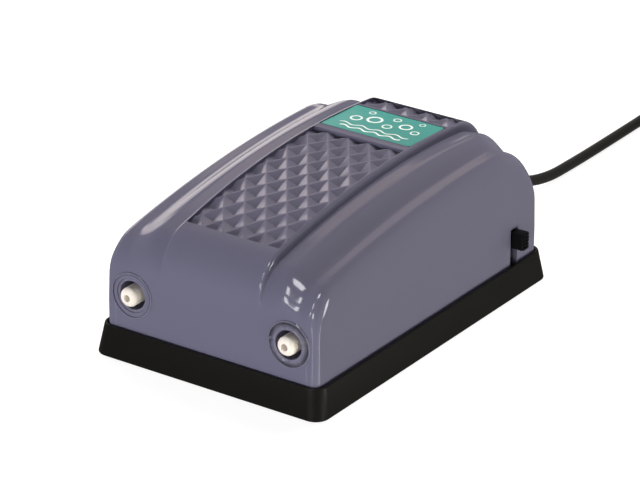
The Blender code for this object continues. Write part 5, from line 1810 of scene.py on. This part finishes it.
@dataclass
class Studio:
    """The camera, the pale floor and the lights."""

    lens: float = 199.14
    sensor: float = 36.0
    camera_at: Point = (0.52019, -0.76062, 0.43809)
    azimuth: float = 34.491
    elevation: float = 24.248
    roll: float = 0.476
    floor_half: float = 3.0
    floor_gap: float = 0.0001
    floor_tone: float = 0.30
    floor_glow: float = 0.90
    floor_roughness: float = 0.8
    world: float = 0.14
    lights: tuple[SoftBox, ...] = (
        SoftBox("front_fill", Reach.FILL, (0.0, 1.0), (50.0, 18.0), 11.5),
        SoftBox("right_fill", Reach.FILL, (92.0, -14.0), (50.0, 18.0), 12.4, (1.0, 0.99, 0.86)),
        SoftBox("top_fill", Reach.FILL, (-160.0, 45.0), (50.0, 40.0), 7.7, (1.0, 0.95, 0.87)),
        SoftBox("left_fill", Reach.FILL, (-90.0, 10.0), (50.0, 20.0), 5.0),
        SoftBox("rear_fill", Reach.FILL, (180.0, 5.0), (50.0, 18.0), 8.0),
        SoftBox("rear_warm", Reach.GLEAM, (-148.0, 36.0), (22.0, 22.0), 0.55, (1.0, 0.82, 0.70)),
        SoftBox("left_window", Reach.GLEAM, (-131.0, 3.0), (32.0, 22.0), 1.2, (1.0, 0.91, 0.87)),
        SoftBox("facet_glow", Reach.GLEAM, (-115.0, 21.0), (20.0, 16.0), 2.0, (1.0, 0.88, 0.86)),
        SoftBox("pane_low_left", Reach.GLEAM, (-14.0, 22.0), (5.0, 11.0), 12.0),
        SoftBox("pane_high_left", Reach.GLEAM, (-11.0, 42.0), (6.0, 14.0), 12.0),
        SoftBox("pane_low_right", Reach.GLEAM, (8.0, 20.0), (8.0, 12.0), 12.0),
        SoftBox("pane_high_right", Reach.GLEAM, (20.0, 68.0), (16.0, 12.0), 12.0),
        SoftBox("right_pane", Reach.GLEAM, (109.0, 6.0), (10.0, 18.0), 12.0),
        SoftBox("corner_front", Reach.GLEAM, (2.0, -24.0), (7.0, 40.0), 3.0),
        SoftBox("corner_right", Reach.GLEAM, (86.0, -24.0), (8.0, 40.0), 5.0),
    )

    def build(self) -> None:
        """Set up the camera, floor, world and lights."""
        self.make_camera()
        self.make_floor()
        self.make_world()
        for light in self.lights:
            light.build()
        view = bpy.context.scene.view_settings
        view.view_transform = "Standard"
        view.look = "None"

    def make_camera(self) -> None:
        """Place the camera at its spot and angles."""
        lens = bpy.data.cameras.new("camera")
        lens.lens = self.lens
        lens.sensor_width = self.sensor
        lens.clip_start = 0.01
        holder = bpy.data.objects.new("camera", lens)
        bpy.context.scene.collection.objects.link(holder)
        back = direction(self.azimuth, self.elevation)
        right = Vector((0, 0, 1)).cross(back).normalized()
        up = back.cross(right)
        tilt = math.radians(self.roll)
        x_axis = right * math.cos(tilt) + up * math.sin(tilt)
        y_axis = up * math.cos(tilt) - right * math.sin(tilt)
        holder.matrix_world = Matrix.Translation(self.camera_at) @ facing(x_axis, y_axis, back)
        bpy.context.scene.camera = holder

    def make_floor(self) -> None:
        """Lay a plain floor that looks white but lights the object only softly."""
        deselect_all()
        bpy.ops.mesh.primitive_plane_add(size=2 * self.floor_half)
        floor = added("floor")
        floor.location.z = -self.floor_gap
        paper = bpy.data.materials.new("white_paper")
        paper.use_nodes = True
        nodes, links = paper.node_tree.nodes, paper.node_tree.links
        shader = nodes["Principled BSDF"]
        shader.inputs["Base Color"].default_value = (self.floor_tone,) * 3 + (1.0,)
        shader.inputs["Roughness"].default_value = self.floor_roughness
        shader.inputs["Specular IOR Level"].default_value = 0.0
        shader.inputs["Emission Color"].default_value = (1.0, 1.0, 1.0, 1.0)
        rays = nodes.new("ShaderNodeLightPath")
        glow = nodes.new("ShaderNodeMath")
        glow.operation = "MULTIPLY"
        glow.inputs[1].default_value = self.floor_glow
        links.new(rays.outputs["Is Camera Ray"], glow.inputs[0])
        links.new(glow.outputs[0], shader.inputs["Emission Strength"])
        floor.data.materials.append(paper)
        floor.visible_glossy = False
        floor.visible_shadow = False

    def make_world(self) -> None:
        """Fill the room with an even, soft white."""
        world = bpy.data.worlds.new("room")
        world.use_nodes = True
        light = world.node_tree.nodes["Background"]
        light.inputs["Color"].default_value = (1.0, 1.0, 1.0, 1.0)
        light.inputs["Strength"].default_value = self.world
        bpy.context.scene.world = world


def main() -> None:
    """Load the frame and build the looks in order."""
    logging.basicConfig(level=logging.INFO, format="%(message)s")
    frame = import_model()
    Studio().build()
    paints = Paintbox()
    Cord().build(paints)
    paints.dress_frame(frame["nodes"], frame["record"])
    Shell().build(paints)
    Label().build(paints)
    Boot().build(paints)
    Nozzles().build(paints)
    Diaphragms().build(paints)
    Knob().build(paints)


if __name__ == "__main__":
    main()
